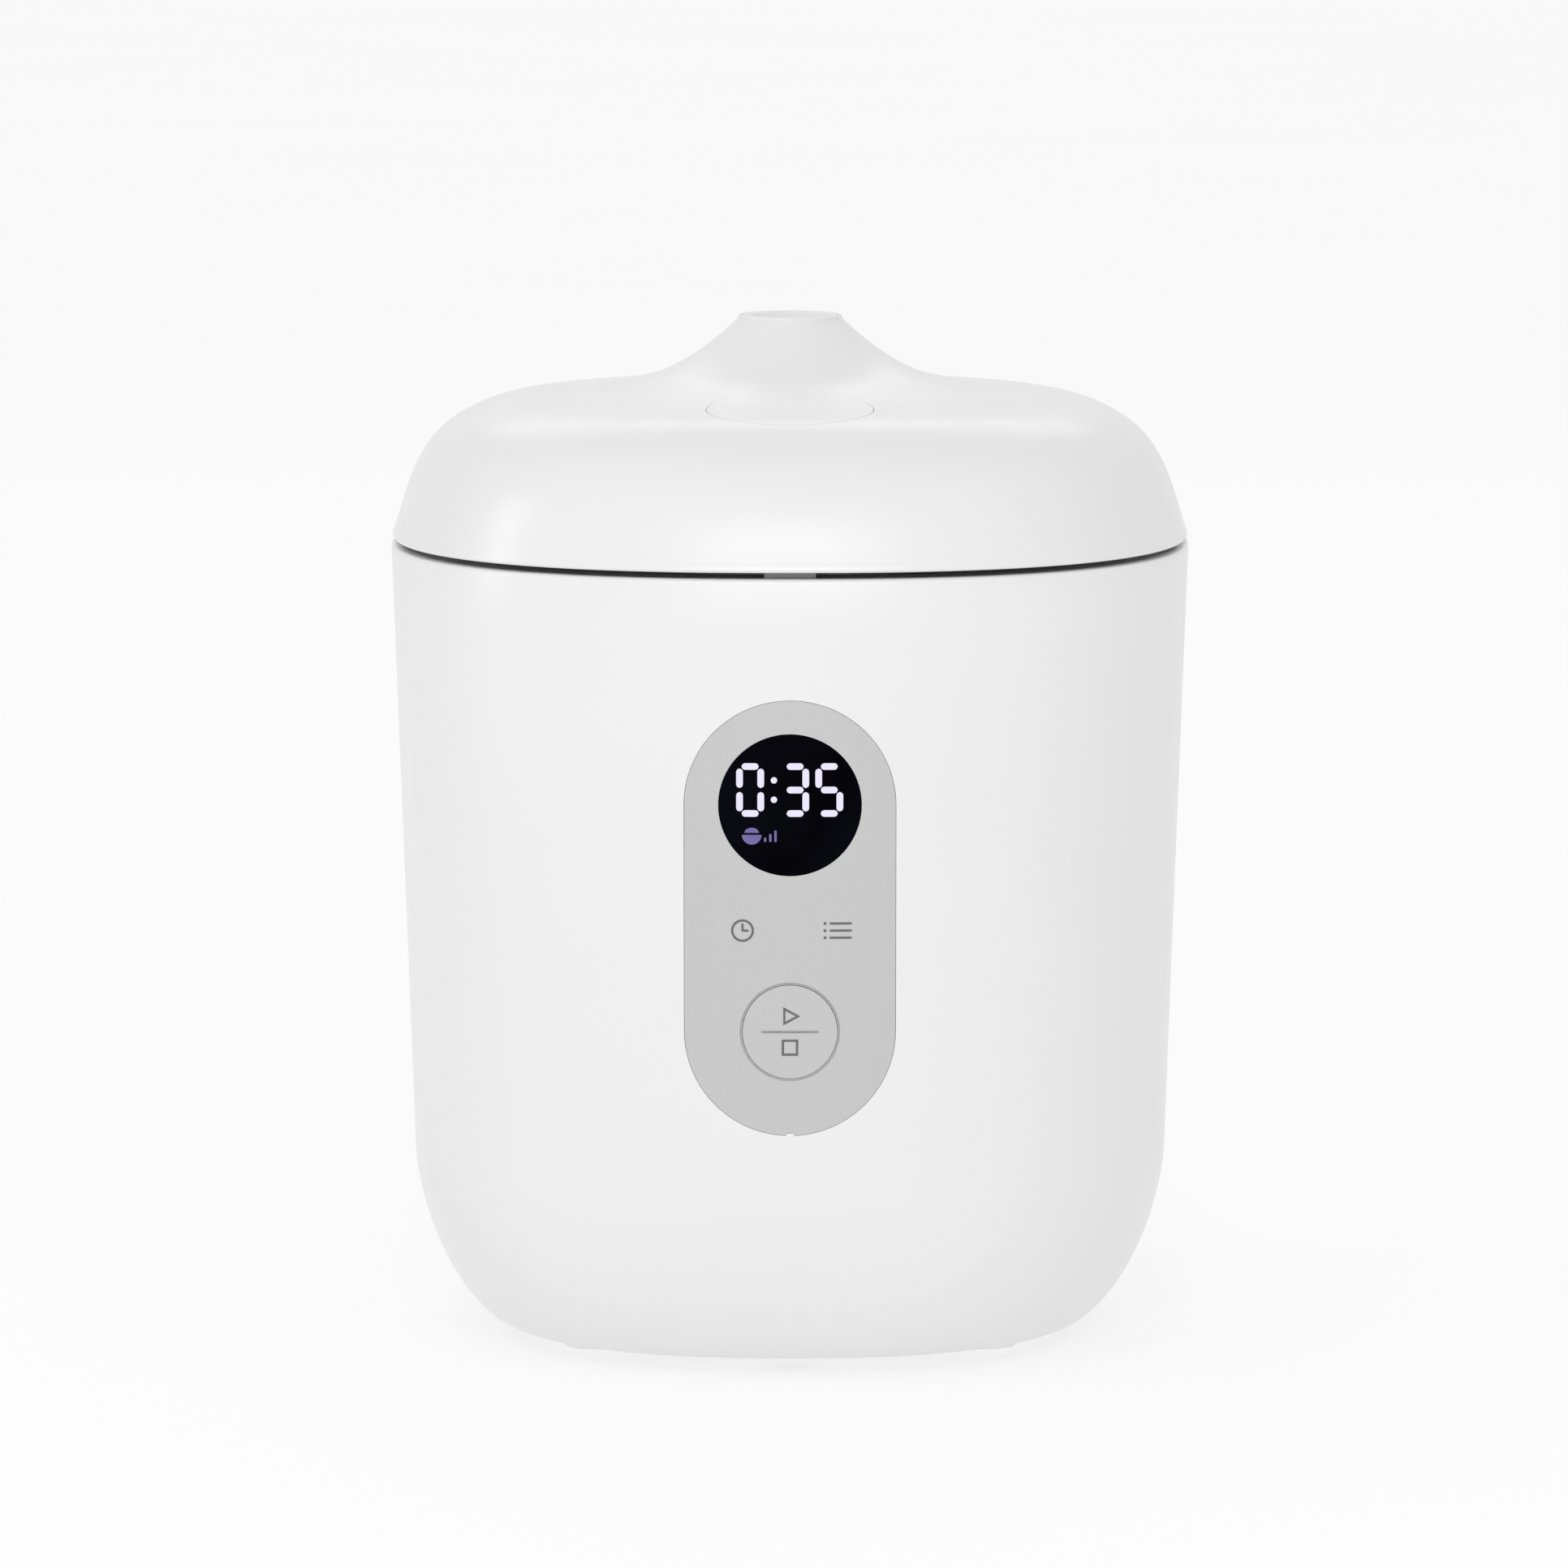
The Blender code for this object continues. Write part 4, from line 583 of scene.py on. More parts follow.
def curve_mesh(name, curve, lines, closed):
    """The mesh of a curve that runs through these lines of points."""
    for line in lines:
        spline = curve.splines.new("POLY")
        spline.points.add(len(line) - 1)
        for point, place in zip(spline.points, line):
            point.co = (*place, 1.0)
        spline.use_cyclic_u = closed
    blank = new_object(name + "_line", curve)
    bpy.context.view_layer.update()
    mesh = bpy.data.meshes.new_from_object(blank.evaluated_get(bpy.context.evaluated_depsgraph_get()))
    bpy.data.objects.remove(blank)
    return mesh


def carve(piece, operation, *others):
    """Cut, fuse or intersect other shapes with a piece, then drop them."""
    for other in others:
        modifier = piece.modifiers.new(other.name, "BOOLEAN")
        modifier.operation = operation
        modifier.object = other
    bpy.context.view_layer.update()
    solid = piece.evaluated_get(bpy.context.evaluated_depsgraph_get())
    mesh = bpy.data.meshes.new_from_object(solid)
    piece.modifiers.clear()
    piece.data = tidy_mesh(mesh)
    for other in others:
        bpy.data.objects.remove(other)
    return piece


def shade_like(piece, guide):
    """Give the faces that lie on a guide surface the guide's own smooth normals."""
    faces = [tuple(polygon.vertices) for polygon in guide.polygons]
    places = [vertex.co.copy() for vertex in guide.vertices]
    tree = BVHTree.FromPolygons(places, faces)
    found = {}
    mesh = piece.data
    for vertex in mesh.vertices:
        spot, _, index, distance = tree.find_nearest(vertex.co, GUIDE_REACH)
        if spot is None or distance > GUIDE_GAP:
            continue
        corners = faces[index]
        weights = poly_3d_calc([places[corner] for corner in corners], spot)
        normal = Vector((0.0, 0.0, 0.0))
        for corner, weight in zip(corners, weights):
            normal += guide.vertices[corner].normal * weight
        found[vertex.index] = normal.normalized()
    normals = []
    for polygon in mesh.polygons:
        for corner in polygon.vertices:
            normal = found.get(corner)
            if normal is None or normal.dot(polygon.normal) < GUIDE_LIKENESS:
                normals.append((0.0, 0.0, 0.0))
            else:
                normals.append(tuple(normal))
    mesh.normals_split_custom_set(normals)
    return piece


def middle_of(node):
    """The middle of a solid's box, seen from above."""
    low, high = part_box(node)
    return ((low.x + high.x) / 2, (low.y + high.y) / 2)


def finish_piece(piece, body, finish, replaced=()):
    """Give a piece its finish, its body and the solids it stands for."""
    piece.data.materials.clear()
    piece.data.materials.append(FINISHES[finish])
    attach(piece, body)
    if replaced:
        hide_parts(*replaced)
    return piece


def finish_skin(piece, guide, body, finish, node):
    """Finish a piece whose outside lies on a guide surface."""
    shade_like(piece, guide)
    finish_piece(piece, body, finish, [node])


def paint_where(piece, finish, test):
    """Repaint the faces whose centre passes a test."""
    piece.data.materials.append(FINISHES[finish])
    index = len(piece.data.materials) - 1
    for polygon in piece.data.polygons:
        if test(polygon.center, polygon.normal):
            polygon.material_index = index


# ---- outlines

def arc(centre, radius, start, end, count):
    """Points round a centre from one angle to another, in degrees."""
    points = []
    for index in range(count + 1):
        angle = math.radians(start + (end - start) * index / count)
        points.append((centre[0] + radius * math.cos(angle), centre[1] + radius * math.sin(angle)))
    return points


def oval(centre, half_width, half_height, count=96):
    points = []
    for index in range(count):
        angle = math.tau * index / count
        points.append((centre[0] + half_width * math.cos(angle), centre[1] + half_height * math.sin(angle)))
    return points


def circle(centre, radius, count=96):
    return oval(centre, radius, radius, count)


def capsule(centre_z, width, height, segments=40):
    radius = width / 2
    rise = height / 2 - radius
    upper = arc((0, centre_z + rise), radius, 0, 180, segments)
    lower = arc((0, centre_z - rise), radius, 180, 360, segments)
    return upper + lower


def bezier(start, start_handle, end_handle, end, count):
    points = []
    for index in range(count + 1):
        t = index / count
        weights = ((1 - t) ** 3, 3 * (1 - t) ** 2 * t, 3 * (1 - t) * t ** 2, t ** 3)
        corners = (start, start_handle, end_handle, end)
        points.append(tuple(sum(w * c[axis] for w, c in zip(weights, corners)) for axis in (0, 1)))
    return points


def ahead(point, slope, distance):
    """The point a distance outward along a line that falls at a slope in degrees."""
    angle = math.radians(slope)
    return (point[0] + distance * math.cos(angle), point[1] - distance * math.sin(angle))


def inset(points, distance):
    """Move an outline that runs outward and down towards its inner side."""
    moved = []
    for index, (radius, height) in enumerate(points):
        before = points[max(index - 1, 0)]
        after = points[min(index + 1, len(points) - 1)]
        run = after[0] - before[0]
        fall = after[1] - before[1]
        size = math.hypot(run, fall)
        moved.append((radius + distance * fall / size, height - distance * run / size))
    return moved


def softened(profile):
    """Round each corner given as (radius, height, reach) with a short curve."""
    points = []
    count = len(profile)
    for index, corner in enumerate(profile):
        place = Vector(corner[:2])
        if len(corner) < 3:
            points.append(tuple(place))
            continue
        before = Vector(profile[index - 1][:2])
        after = Vector(profile[(index + 1) % count][:2])
        start = place + (before - place).normalized() * corner[2]
        end = place + (after - place).normalized() * corner[2]
        for step in range(5):
            t = step / 4
            blend = start * (1 - t) ** 2 + place * 2 * t * (1 - t) + end * t ** 2
            points.append(tuple(blend))
    return points


def body_half_width(height):
    return HALF_WIDTH - BODY_TAPER * (BODY_TOP - height) / (BODY_TOP - CORNER_Z)


def body_power(radius):
    return PLAN_POWER


def square_beyond(edge):
    """Plan of a ring with a round bore: as square as the body beyond this radius."""
    return lambda radius: PLAN_POWER if radius > edge else 2.0


def corner_points(wide, narrow, top, bottom, count):
    """A soft bottom corner from the wall (wide, top) to the flat (narrow, bottom)."""
    points = []
    for index in range(count + 1):
        angle = math.radians(90.0 * index / count)
        across = max(math.cos(angle), 0.0) ** CORNER_POWER
        down = max(math.sin(angle), 0.0) ** CORNER_POWER
        points.append((narrow + (wide - narrow) * across, top - (top - bottom) * down))
    return points


def body_outer_line():
    """The body's outer line from its rounded rim down to its flat bottom."""
    centre = (HALF_WIDTH - EDGE_ROUND, BODY_TOP - EDGE_ROUND)
    line = arc(centre, EDGE_ROUND, 90, 2, 6)
    foot = body_half_width(CORNER_Z)
    for index in range(1, 12):
        height = BODY_TOP - EDGE_ROUND - (BODY_TOP - EDGE_ROUND - CORNER_Z) * index / 12
        line.append((body_half_width(height), height))
    return line + corner_points(foot, foot - CORNER_DEPTH, CORNER_Z, BODY_BOTTOM, 30)


def body_shell(name):
    foot = body_half_width(CORNER_Z)
    flat = foot - CORNER_DEPTH
    inner = [(flat - BASE_LIP, BODY_BOTTOM)]
    inner += corner_points(foot - BODY_WALL, flat - BASE_LIP, CORNER_Z, BODY_BOTTOM + BODY_WALL, 12)[::-1]
    inner.append((HALF_WIDTH - BODY_WALL, BODY_TOP))
    return turned(name, body_outer_line() + inner, power_at=body_power)


def wall_y(x, z):
    """Y of the front wall's outer face."""
    half = body_half_width(z)
    return -((half ** PLAN_POWER - abs(x) ** PLAN_POWER) ** (1.0 / PLAN_POWER))


def lid_power(radius):
    """Plan of the lid: round at the cone, as square as the body at the rim."""
    wide = HALF_WIDTH - 0.006
    blend = min(max((radius - LID_ROUND_RADIUS) / (wide - LID_ROUND_RADIUS), 0.0), 1.0)
    blend = blend * blend * (3.0 - 2.0 * blend)
    return 2.0 + (PLAN_POWER - 2.0) * blend


def lid_line():
    """The lid's outer line from the top of the cone out and down to the rim."""
    lip = (VENT_RADIUS, LID_TOP - LIP_HEIGHT)
    foot = (CONE_FOOT_RADIUS, CONE_FOOT_Z)
    shoulder = (SHOULDER_RADIUS, SHOULDER_Z)
    rim = (HALF_WIDTH - 0.00005, RIM_Z)
    cone = bezier(lip, ahead(lip, LIP_SLOPE, 0.0023), ahead(foot, FOOT_SLOPE, -0.0092), foot, 18)
    crown = bezier(foot, ahead(foot, FOOT_SLOPE, 0.0233), ahead(shoulder, SHOULDER_SLOPE, -0.0125),
                   shoulder, 18)
    side = bezier(shoulder, ahead(shoulder, SHOULDER_SLOPE, 0.0108), ahead(rim, RIM_SLOPE, -0.0090), rim, 20)
    return cone + crown[1:] + side[1:-1]


def lid_outer_line():
    """The outer line with its lip and rim rounded off."""
    lip = [(VENT_RADIUS - 0.00040, LID_TOP), (VENT_RADIUS - 0.00020, LID_TOP - 0.00008),
           (VENT_RADIUS - 0.00005, LID_TOP - 0.00030)]
    line = [point for point in lid_line() if point[1] > RIM_Z + 0.0008]
    rim = [(HALF_WIDTH - 0.00022, RIM_Z + 0.00055), (HALF_WIDTH - 0.00032, RIM_Z + 0.00028),
           (HALF_WIDTH - 0.00055, RIM_Z + 0.00009), (HALF_WIDTH - 0.00090, RIM_Z)]
    return lip + line + rim


def lid_block(name):
    """The lid's outer form as a solid block down to the rim."""
    profile = [(0.0, LID_TOP)] + lid_outer_line() + [(0.0, RIM_Z)]
    return turned(name, profile, power_at=lid_power, closed=False)


# ---- body

def panel_outline(grow):
    """The control panel's outline with a small pry notch at its foot."""
    width, height = PANEL_SIZE
    outline = capsule(PANEL_Z, width + 2 * grow, height + 2 * grow)
    foot = PANEL_Z - height / 2 - grow
    notched = []
    for x, z in outline:
        near = abs(x) < 2 * NOTCH_HALF and z < PANEL_Z
        if not near:
            notched.append((x, z))
        elif abs(x) < NOTCH_HALF / 2:
            notched += [(-NOTCH_HALF, foot + 0.00003), (-NOTCH_TOP_HALF, foot + NOTCH_HEIGHT),
                        (NOTCH_TOP_HALF, foot + NOTCH_HEIGHT), (NOTCH_HALF, foot + 0.00003)]
    return notched


def front_prism(name, outline):
    return prism(name, outline, "Y", -HALF_WIDTH - 0.01, -HALF_WIDTH / 2)


def make_outer_body(guide):
    body = body_shell("outer_body_skin")
    seam = 0.0002
    inlet = rounded_block("inlet_window", (INLET_LOW.x - seam, HALF_WIDTH / 2, INLET_LOW.z - seam),
                          (INLET_HIGH.x + seam, HALF_WIDTH + 0.01, INLET_HIGH.z + seam), 0.0012, "Y")
    carve(body, "DIFFERENCE", front_prism("panel_opening", panel_outline(PANEL_SEAM)), inlet)
    finish_skin(body, guide, "base", "body_white", "outer_body")


def wall_patch(name, outline):
    """The part of the body's wall inside an outline seen from the front."""
    return carve(body_shell(name), "INTERSECT", front_prism(name + "_edge", outline))


def make_panel(guide):
    fascia = wall_patch("panel_fascia_skin", panel_outline(0.0))
    lens_hole = front_prism("lens_hole", circle((0, LENS_Z), LENS_RADIUS + LENS_SEAM))
    key_hole = front_prism("key_hole", circle((0, KEY_Z), KEY_RADIUS + KEY_HOLE_SEAM))
    ring = prism("key_ring", circle((0, KEY_Z), KEY_RADIUS + KEY_RING_WIDTH), "Y", -HALF_WIDTH - 0.01,
                 wall_y(0.0, KEY_Z) + KEY_RING_DEPTH)
    carve(fascia, "DIFFERENCE", lens_hole, key_hole, ring)
    finish_skin(fascia, guide, "base", "panel_silver", "panel_fascia")
    lens = wall_patch("display_lens_glass", circle((0, LENS_Z), LENS_RADIUS))
    finish_skin(lens, guide, "base", "display_black", "display_lens")
    key = wall_patch("cook_key_face", circle((0, KEY_Z), KEY_RADIUS))
    stem = bar("key_stem", "Y", (0, KEY_Z), KEY_STEM_RADIUS, -body_half_width(KEY_Z) + BODY_WALL - 0.0005,
               KEY_HIGH.y, 32)
    carve(key, "UNION", stem)
    finish_skin(key, guide, "key", "panel_silver", "cook_key")


# ---- printed and lit marks

def divided(outline, reach=0.0008):
    """Add points along long edges so that a mark can follow the curved wall."""
    points = []
    for index, start in enumerate(outline):
        end = outline[(index + 1) % len(outline)]
        parts = max(1, math.ceil(math.dist(start, end) / reach))
        for step in range(parts):
            t = step / parts
            points.append((start[0] + (end[0] - start[0]) * t, start[1] + (end[1] - start[1]) * t))
    return points


def wall_mark(name, outlines, body, finish, sink=0.0):
    """A thin mark on the front wall, or sunk below it; an outline inside another one is a hole."""
    curve = bpy.data.curves.new(name, "CURVE")
    curve.dimensions = "2D"
    curve.fill_mode = "BOTH"
    curve.extrude = MARK_DEPTH
    lines = [[(x, z, 0.0) for x, z in divided(outline)] for outline in outlines]
    mesh = curve_mesh(name, curve, lines, True)
    for vertex in mesh.vertices:
        x, z, lift = vertex.co
        vertex.co = (x, wall_y(x, z) + sink - MARK_LIFT - lift, z)
    mesh.shade_flat()
    piece = new_object(name, mesh)
    return finish_piece(piece, body, finish)


def segment(x, z, length, width, upright):
    """One display segment with pointed, slightly rounded ends."""
    half = length / 2
    thick = width / 2
    flat = half - thick
    bend = (half - thick * 0.35, thick * 0.75)
    shape = [(-half, 0.0), (-bend[0], bend[1]), (-flat, thick), (flat, thick), bend, (half, 0.0),
             (bend[0], -bend[1]), (flat, -thick), (-flat, -thick), (-bend[0], -bend[1])]
    if upright:
        return [(x + across, z + along) for along, across in shape]
    return [(x + along, z + across) for along, across in shape]


def digit_outlines(figure, centre_x, centre_z, width, height, thick):
    reach = (width - thick) / 2
    quarter = (height - thick) / 4
    gap = thick * 0.30
    flat = width - thick - 2 * gap
    tall = (height - thick) / 2 - 2 * gap
    places = {
        "a": (0.0, 2 * quarter, flat, False), "g": (0.0, 0.0, flat, False),
        "d": (0.0, -2 * quarter, flat, False),
        "f": (-reach, quarter, tall, True), "b": (reach, quarter, tall, True),
        "e": (-reach, -quarter, tall, True), "c": (reach, -quarter, tall, True),
    }
    outlines = []
    for letter in DIGIT_SEGMENTS[figure]:
        x, z, length, upright = places[letter]
        outlines.append(segment(centre_x + x, centre_z + z, length, thick, upright))
    return outlines


def make_display():
    """The clock figures and the dim bowl sign under them."""
    row_z = LENS_Z + DIGIT_RISE
    outlines = []
    for figure, x in DIGIT_PLACES:
        outlines += digit_outlines(figure, x, row_z, DIGIT_WIDTH, DIGIT_HEIGHT, DIGIT_LINE)
    for z in (-COLON_RISE, COLON_RISE):
        outlines.append(circle((COLON_X, row_z + z), COLON_DOT, 20))
    wall_mark("display_figures", outlines, "base", "digits")
    bowl = (BOWL_X, row_z - BOWL_DROP)
    heap = oval((BOWL_X, bowl[1] + 0.0004), 0.0014, 0.0010, 28)[:15]
    shapes = [arc(bowl, BOWL_RADIUS, 180, 360, 18), heap]
    for index in range(3):
        height = 0.0009 + 0.0007 * index
        x = BOWL_X + 0.0026 + 0.0010 * index
        shapes.append(capsule_at(x, bowl[1] - 0.0014 + height / 2, 0.00046, height))
    wall_mark("display_bowl_sign", shapes, "base", "dim_mark")


def capsule_at(x, z, width, height):
    return [(x + across, up) for across, up in capsule(z, width, height, 8)]


def stroke(start, end, width):
    """A straight line of a given width with round ends."""
    run = Vector(end) - Vector(start)
    angle = math.degrees(math.atan2(run.y, run.x))
    return arc(end, width / 2, angle - 90, angle + 90, 8) + arc(start, width / 2, angle + 90, angle + 270, 8)


def ring_outlines(centre, radius, width, count=64):
    return [circle(centre, radius + width / 2, count), circle(centre, radius - width / 2, count)]


def panel_sign(name, outlines, body="base", finish="print", sink=0.0):
    """A sign printed on the silver panel, or on the key in it; also used for the painted shade in the key's
    groove.
    """
    wall_mark(name, outlines, body, finish, sink)


def make_touch_signs():
    """A clock and a list over the touch pads."""
    x, z = clock = (-TOUCH_X, TOUCH_Z)
    panel_sign("sign_timer", ring_outlines(clock, CLOCK_RADIUS, SIGN_LINE))
    panel_sign("sign_timer_hand_up", [stroke(clock, (x, z + 0.0012), SIGN_LINE)])
    panel_sign("sign_timer_hand_side", [stroke((x + 0.0004, z), (x + 0.0010, z), SIGN_LINE)])
    rows = []
    for row in (-1, 0, 1):
        z = TOUCH_Z + row * LIST_PITCH
        rows.append(stroke((TOUCH_X - 0.0013, z), (TOUCH_X + 0.0026, z), SIGN_LINE))
        rows.append(circle((TOUCH_X - 0.0024, z), 0.0003, 16))
    panel_sign("sign_menu", rows)


def make_key_signs():
    """A start and a stop sign on either side of the key's line, and a grey ring in the groove round the key
    that is painted shade.
    """
    upper = KEY_Z + KEY_SIGN_RISE
    lower = KEY_Z - KEY_SIGN_RISE
    play = [(-0.0013, upper - 0.0018), (0.0020, upper), (-0.0013, upper + 0.0018)]
    inner_play = [(-0.0009, upper - 0.0011), (-0.0009, upper + 0.0011), (0.0011, upper)]
    panel_sign("sign_start", [play, inner_play], "key")
    square = [(x * STOP_HALF, lower + z * STOP_HALF) for x, z in ((-1, -1), (1, -1), (1, 1), (-1, 1))]
    inner = [(x * 0.72, lower + (z - lower) * 0.72) for x, z in square]
    panel_sign("sign_stop", [square, inner], "key")
    divider = stroke((-0.0054, KEY_Z), (0.0054, KEY_Z), 0.00036)
    panel_sign("sign_divider", [divider], "key", "thin_print", -0.00004)
    # Painted shade: a grey ring laid on the floor of the groove round the key, sunk into it, to darken the
    # groove
    groove = ring_outlines((0, KEY_Z), KEY_RADIUS + 0.00029, 0.00034, 96)
    panel_sign("key_groove_line", groove, "base", "groove_painted_shade", 0.00008)


# ---- base, deck and pot

def make_feet():
    for index in range(1, 5):
        node = "foot_" + str(index)
        low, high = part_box(node)
        radius = (high.x - low.x) / 2
        sole = radius - FOOT_FLARE
        profile = [(0.0, high.z), (radius, high.z), (radius - 0.0004, high.z - 0.0006)]
        profile += bezier((sole + 0.0004, 0.0009), (sole + 0.0001, 0.0004), (sole - 0.0002, 0.0),
                          (sole - 0.0009, 0.0), 6)
        profile += [(sole * 0.62, 0.0), (sole * 0.58, FOOT_HOLLOW), (0.0, FOOT_HOLLOW)]
        foot = turned(node + "_pad", profile, steps=96, power_at=lambda reach: FOOT_POWER, closed=False)
        foot.location = (*middle_of(node), 0.0)
        finish_piece(foot, "base", "foot_rubber", [node])


def make_deck():
    inner = POT_HIGH.x + DECK_GAP
    outer = DECK_HIGH.x
    top = DECK_HIGH.z
    low = DECK_LOW.z
    bottom = top - DECK_SKIN
    skirt = outer - DECK_SKIRT
    profile = softened([(inner, top, 0.0006), (outer, top, 0.0004), (outer, low), (skirt, low),
                        (skirt, bottom), (inner, bottom)])
    deck = turned("top_deck_ring", profile, power_at=square_beyond((inner + outer) / 2))
    notch = rounded_block("latch_notch", (-LATCH_NOTCH_HALF, -HALF_WIDTH, low - 0.001),
                          (LATCH_NOTCH_HALF, KEEPER_LOW.y, BODY_TOP), 0.0008)
    carve(deck, "DIFFERENCE", notch)
    finish_piece(deck, "base", "inner_white", ["top_deck"])


def make_pot():
    wall = POT_WALL
    corner = POT_CORNER
    flange = POT_HIGH.x
    radius = flange - POT_FLANGE
    low = POT_LOW.z
    top = POT_HIGH.z
    centre = (radius - corner, low + corner)
    profile = [(0.0, low + wall)] + arc(centre, corner - wall, -90, 0, 16)
    inside = radius - wall
    profile += [(inside, top - 0.0012), (inside + 0.0003, top - 0.0004), (inside + 0.0012, top - 0.0001),
                (flange - 0.0008, top), (flange - 0.0002, top - 0.0002), (flange, top - 0.0006),
                (flange - 0.0002, top - wall), (radius + 0.0006, top - wall), (radius, top - wall - 0.0006)]
    profile += arc(centre, corner, 0, -90, 16) + [(0.0, low)]
    pot = turned("inner_pot_bowl", profile, steps=160, closed=False)
    finish_piece(pot, "pot", "pot_coating", ["inner_pot"])
    paint_where(pot, "pot_outside", lambda centre, normal: centre.z < top - 0.0003 and
                (normal.x * centre.x + normal.y * centre.y > 0.0 or normal.z < -0.2))
    for index in range(4):
        make_level_line(index, inside, low + LEVEL_START + index * LEVEL_PITCH)


def make_level_line(index, radius, height):
    """A printed water level line inside the pot, long and short in turn."""
    half = 0.0055 if index % 2 else 0.0090
    outer = radius - 0.00002
    count = 16
    vertices = []
    for step in range(count + 1):
        angle = math.pi / 2 + (half / radius) * (2.0 * step / count - 1.0)
        for reach in (outer - LEVEL_PROUD, outer):
            for rise in (-LEVEL_WIDTH / 2, LEVEL_WIDTH / 2):
                vertices.append((reach * math.cos(angle), reach * math.sin(angle), height + rise))
    faces = [(0, 1, 3, 2), (4 * count + 2, 4 * count + 3, 4 * count + 1, 4 * count)]
    for step in range(count):
        here = 4 * step
        for first, second in ((0, 1), (1, 3), (3, 2), (2, 0)):
            faces.append((here + first, here + 4 + first, here + 4 + second, here + second))
    piece = solid("pot_level_line_" + str(index + 1), vertices, faces)
    finish_piece(piece, "pot", "level_print")


def make_inlet():
    """The mains inlet: a rounded frame with a deep socket."""
    wall = 0.0030
    inlet = rounded_block("power_inlet_frame", INLET_LOW, INLET_HIGH, 0.0010, "Y")
    socket = rounded_block("socket", (INLET_LOW.x + wall, INLET_LOW.y + wall, INLET_LOW.z + wall),
                           (INLET_HIGH.x - wall, INLET_HIGH.y + 0.001, INLET_HIGH.z - wall), 0.0024, "Y")
    carve(inlet, "DIFFERENCE", socket)
    soft = inlet.modifiers.new("edges", "BEVEL")
    soft.width = 0.0004
    soft.segments = 3
    soft.limit_method = "ANGLE"
    soft.angle_limit = math.radians(50)
    carve(inlet, "DIFFERENCE")
    finish_piece(inlet, "base", "dark_plastic", ["power_inlet"])


def make_screws():
    """Pan heads with a cross recess."""
    shank = 0.0014
    deep = 0.0010
    pitch = 0.0009
    arms = [(0.0016, 0.00032), (0.00032, 0.0016)]
    for node, body in [(body + "_screw_" + str(n), body) for body in ("base", "lid") for n in range(1, 5)]:
        low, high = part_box(node)
        head = (high.x - low.x) / 2
        profile = [(0.0, low.z), (head - 0.0009, low.z), (head - 0.0003, low.z + 0.0002),
                   (head, low.z + 0.0006), (head, low.z + deep), (shank, low.z + deep)]
        turn = low.z + deep + 0.0004
        while turn + pitch < high.z - 0.0012:
            profile += [(shank, turn), (shank - 0.00025, turn + pitch / 2)]
            turn += pitch
        profile += [(shank, turn), (0.0004, high.z), (0.0, high.z)]
        screw = turned(node + "_steel", profile, steps=40, closed=False)
        cross = [block("cross_" + str(number), (-wide, -tall, low.z - 0.001), (wide, tall, low.z + 0.0007))
                 for number, (wide, tall) in enumerate(arms)]
        carve(screw, "DIFFERENCE", *cross)
        screw.location = (*middle_of(node), 0.0)
        finish_piece(screw, body, "steel", [node])


# ---- lid

def make_cover(guide):
    inner = inset(lid_line(), LID_WALL)
    inner = [point for point in inner if point[0] > NECK_OUTER + 0.004 and point[1] > RIM_Z + 0.0012]
    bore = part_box("steam_cap")[1].x + CAP_SEAM
    profile = [(bore, LID_TOP - 0.0001), (bore + 0.00008, LID_TOP)] + lid_outer_line()
    profile += [(HALF_WIDTH - LID_WALL, RIM_Z)] + inner[::-2]
    profile += [(NECK_OUTER, inner[0][1] + 0.001), (NECK_OUTER, NECK_BOTTOM), (bore, NECK_BOTTOM)]
    cover = turned("lid_cover_skin", profile, power_at=lid_power)
    hole = prism("button_hole", oval((0, BUTTON_Y - BUTTON_SHIFT), BUTTON_HALF[0] + BUTTON_SEAM,
                                     BUTTON_HALF[1] + BUTTON_SEAM), "Z", RIM_Z + 0.012, LID_TOP + 0.002)
    clearance = 0.0003
    reach = HOUSING_HALF + clearance
    notch = hinge_bar("hinge_notch", HOUSING_RADIUS + clearance, -reach, reach)
    below = block("hinge_notch_foot", (-reach, HINGE_Y, RIM_Z - 0.002), (reach, HALF_WIDTH + 0.01, HINGE_Z))
    carve(notch, "UNION", below)
    carve(cover, "DIFFERENCE", hole, notch)
    finish_skin(cover, guide, "lid", "lid_white", "lid_cover")


def make_button(guide):
    wall = BUTTON_WALL
    button = lid_block("release_button_cap")
    edge = prism("button_edge", oval((0, BUTTON_Y), *BUTTON_HALF), "Z", CONE_FOOT_Z - 0.0100, LID_TOP + 0.002)
    carve(button, "INTERSECT", edge)
    hollow = lid_block("button_hollow")
    hollow.location = (0, 0, -wall)
    room = oval((0, BUTTON_Y), BUTTON_HALF[0] - wall, BUTTON_HALF[1] - wall)
    hollow_edge = prism("button_hollow_edge", room, "Z", CONE_FOOT_Z - 0.012, LID_TOP)
    carve(hollow, "INTERSECT", hollow_edge)
    carve(button, "DIFFERENCE", hollow)
    stem = bar("button_stem", "Z", (0, STEM_Y), BUTTON_STEM_RADIUS, BUTTON_LOW.z, CONE_FOOT_Z - 0.0042, 32)
    carve(button, "UNION", stem)
    finish_skin(button, guide, "button", "lid_white", "release_button")


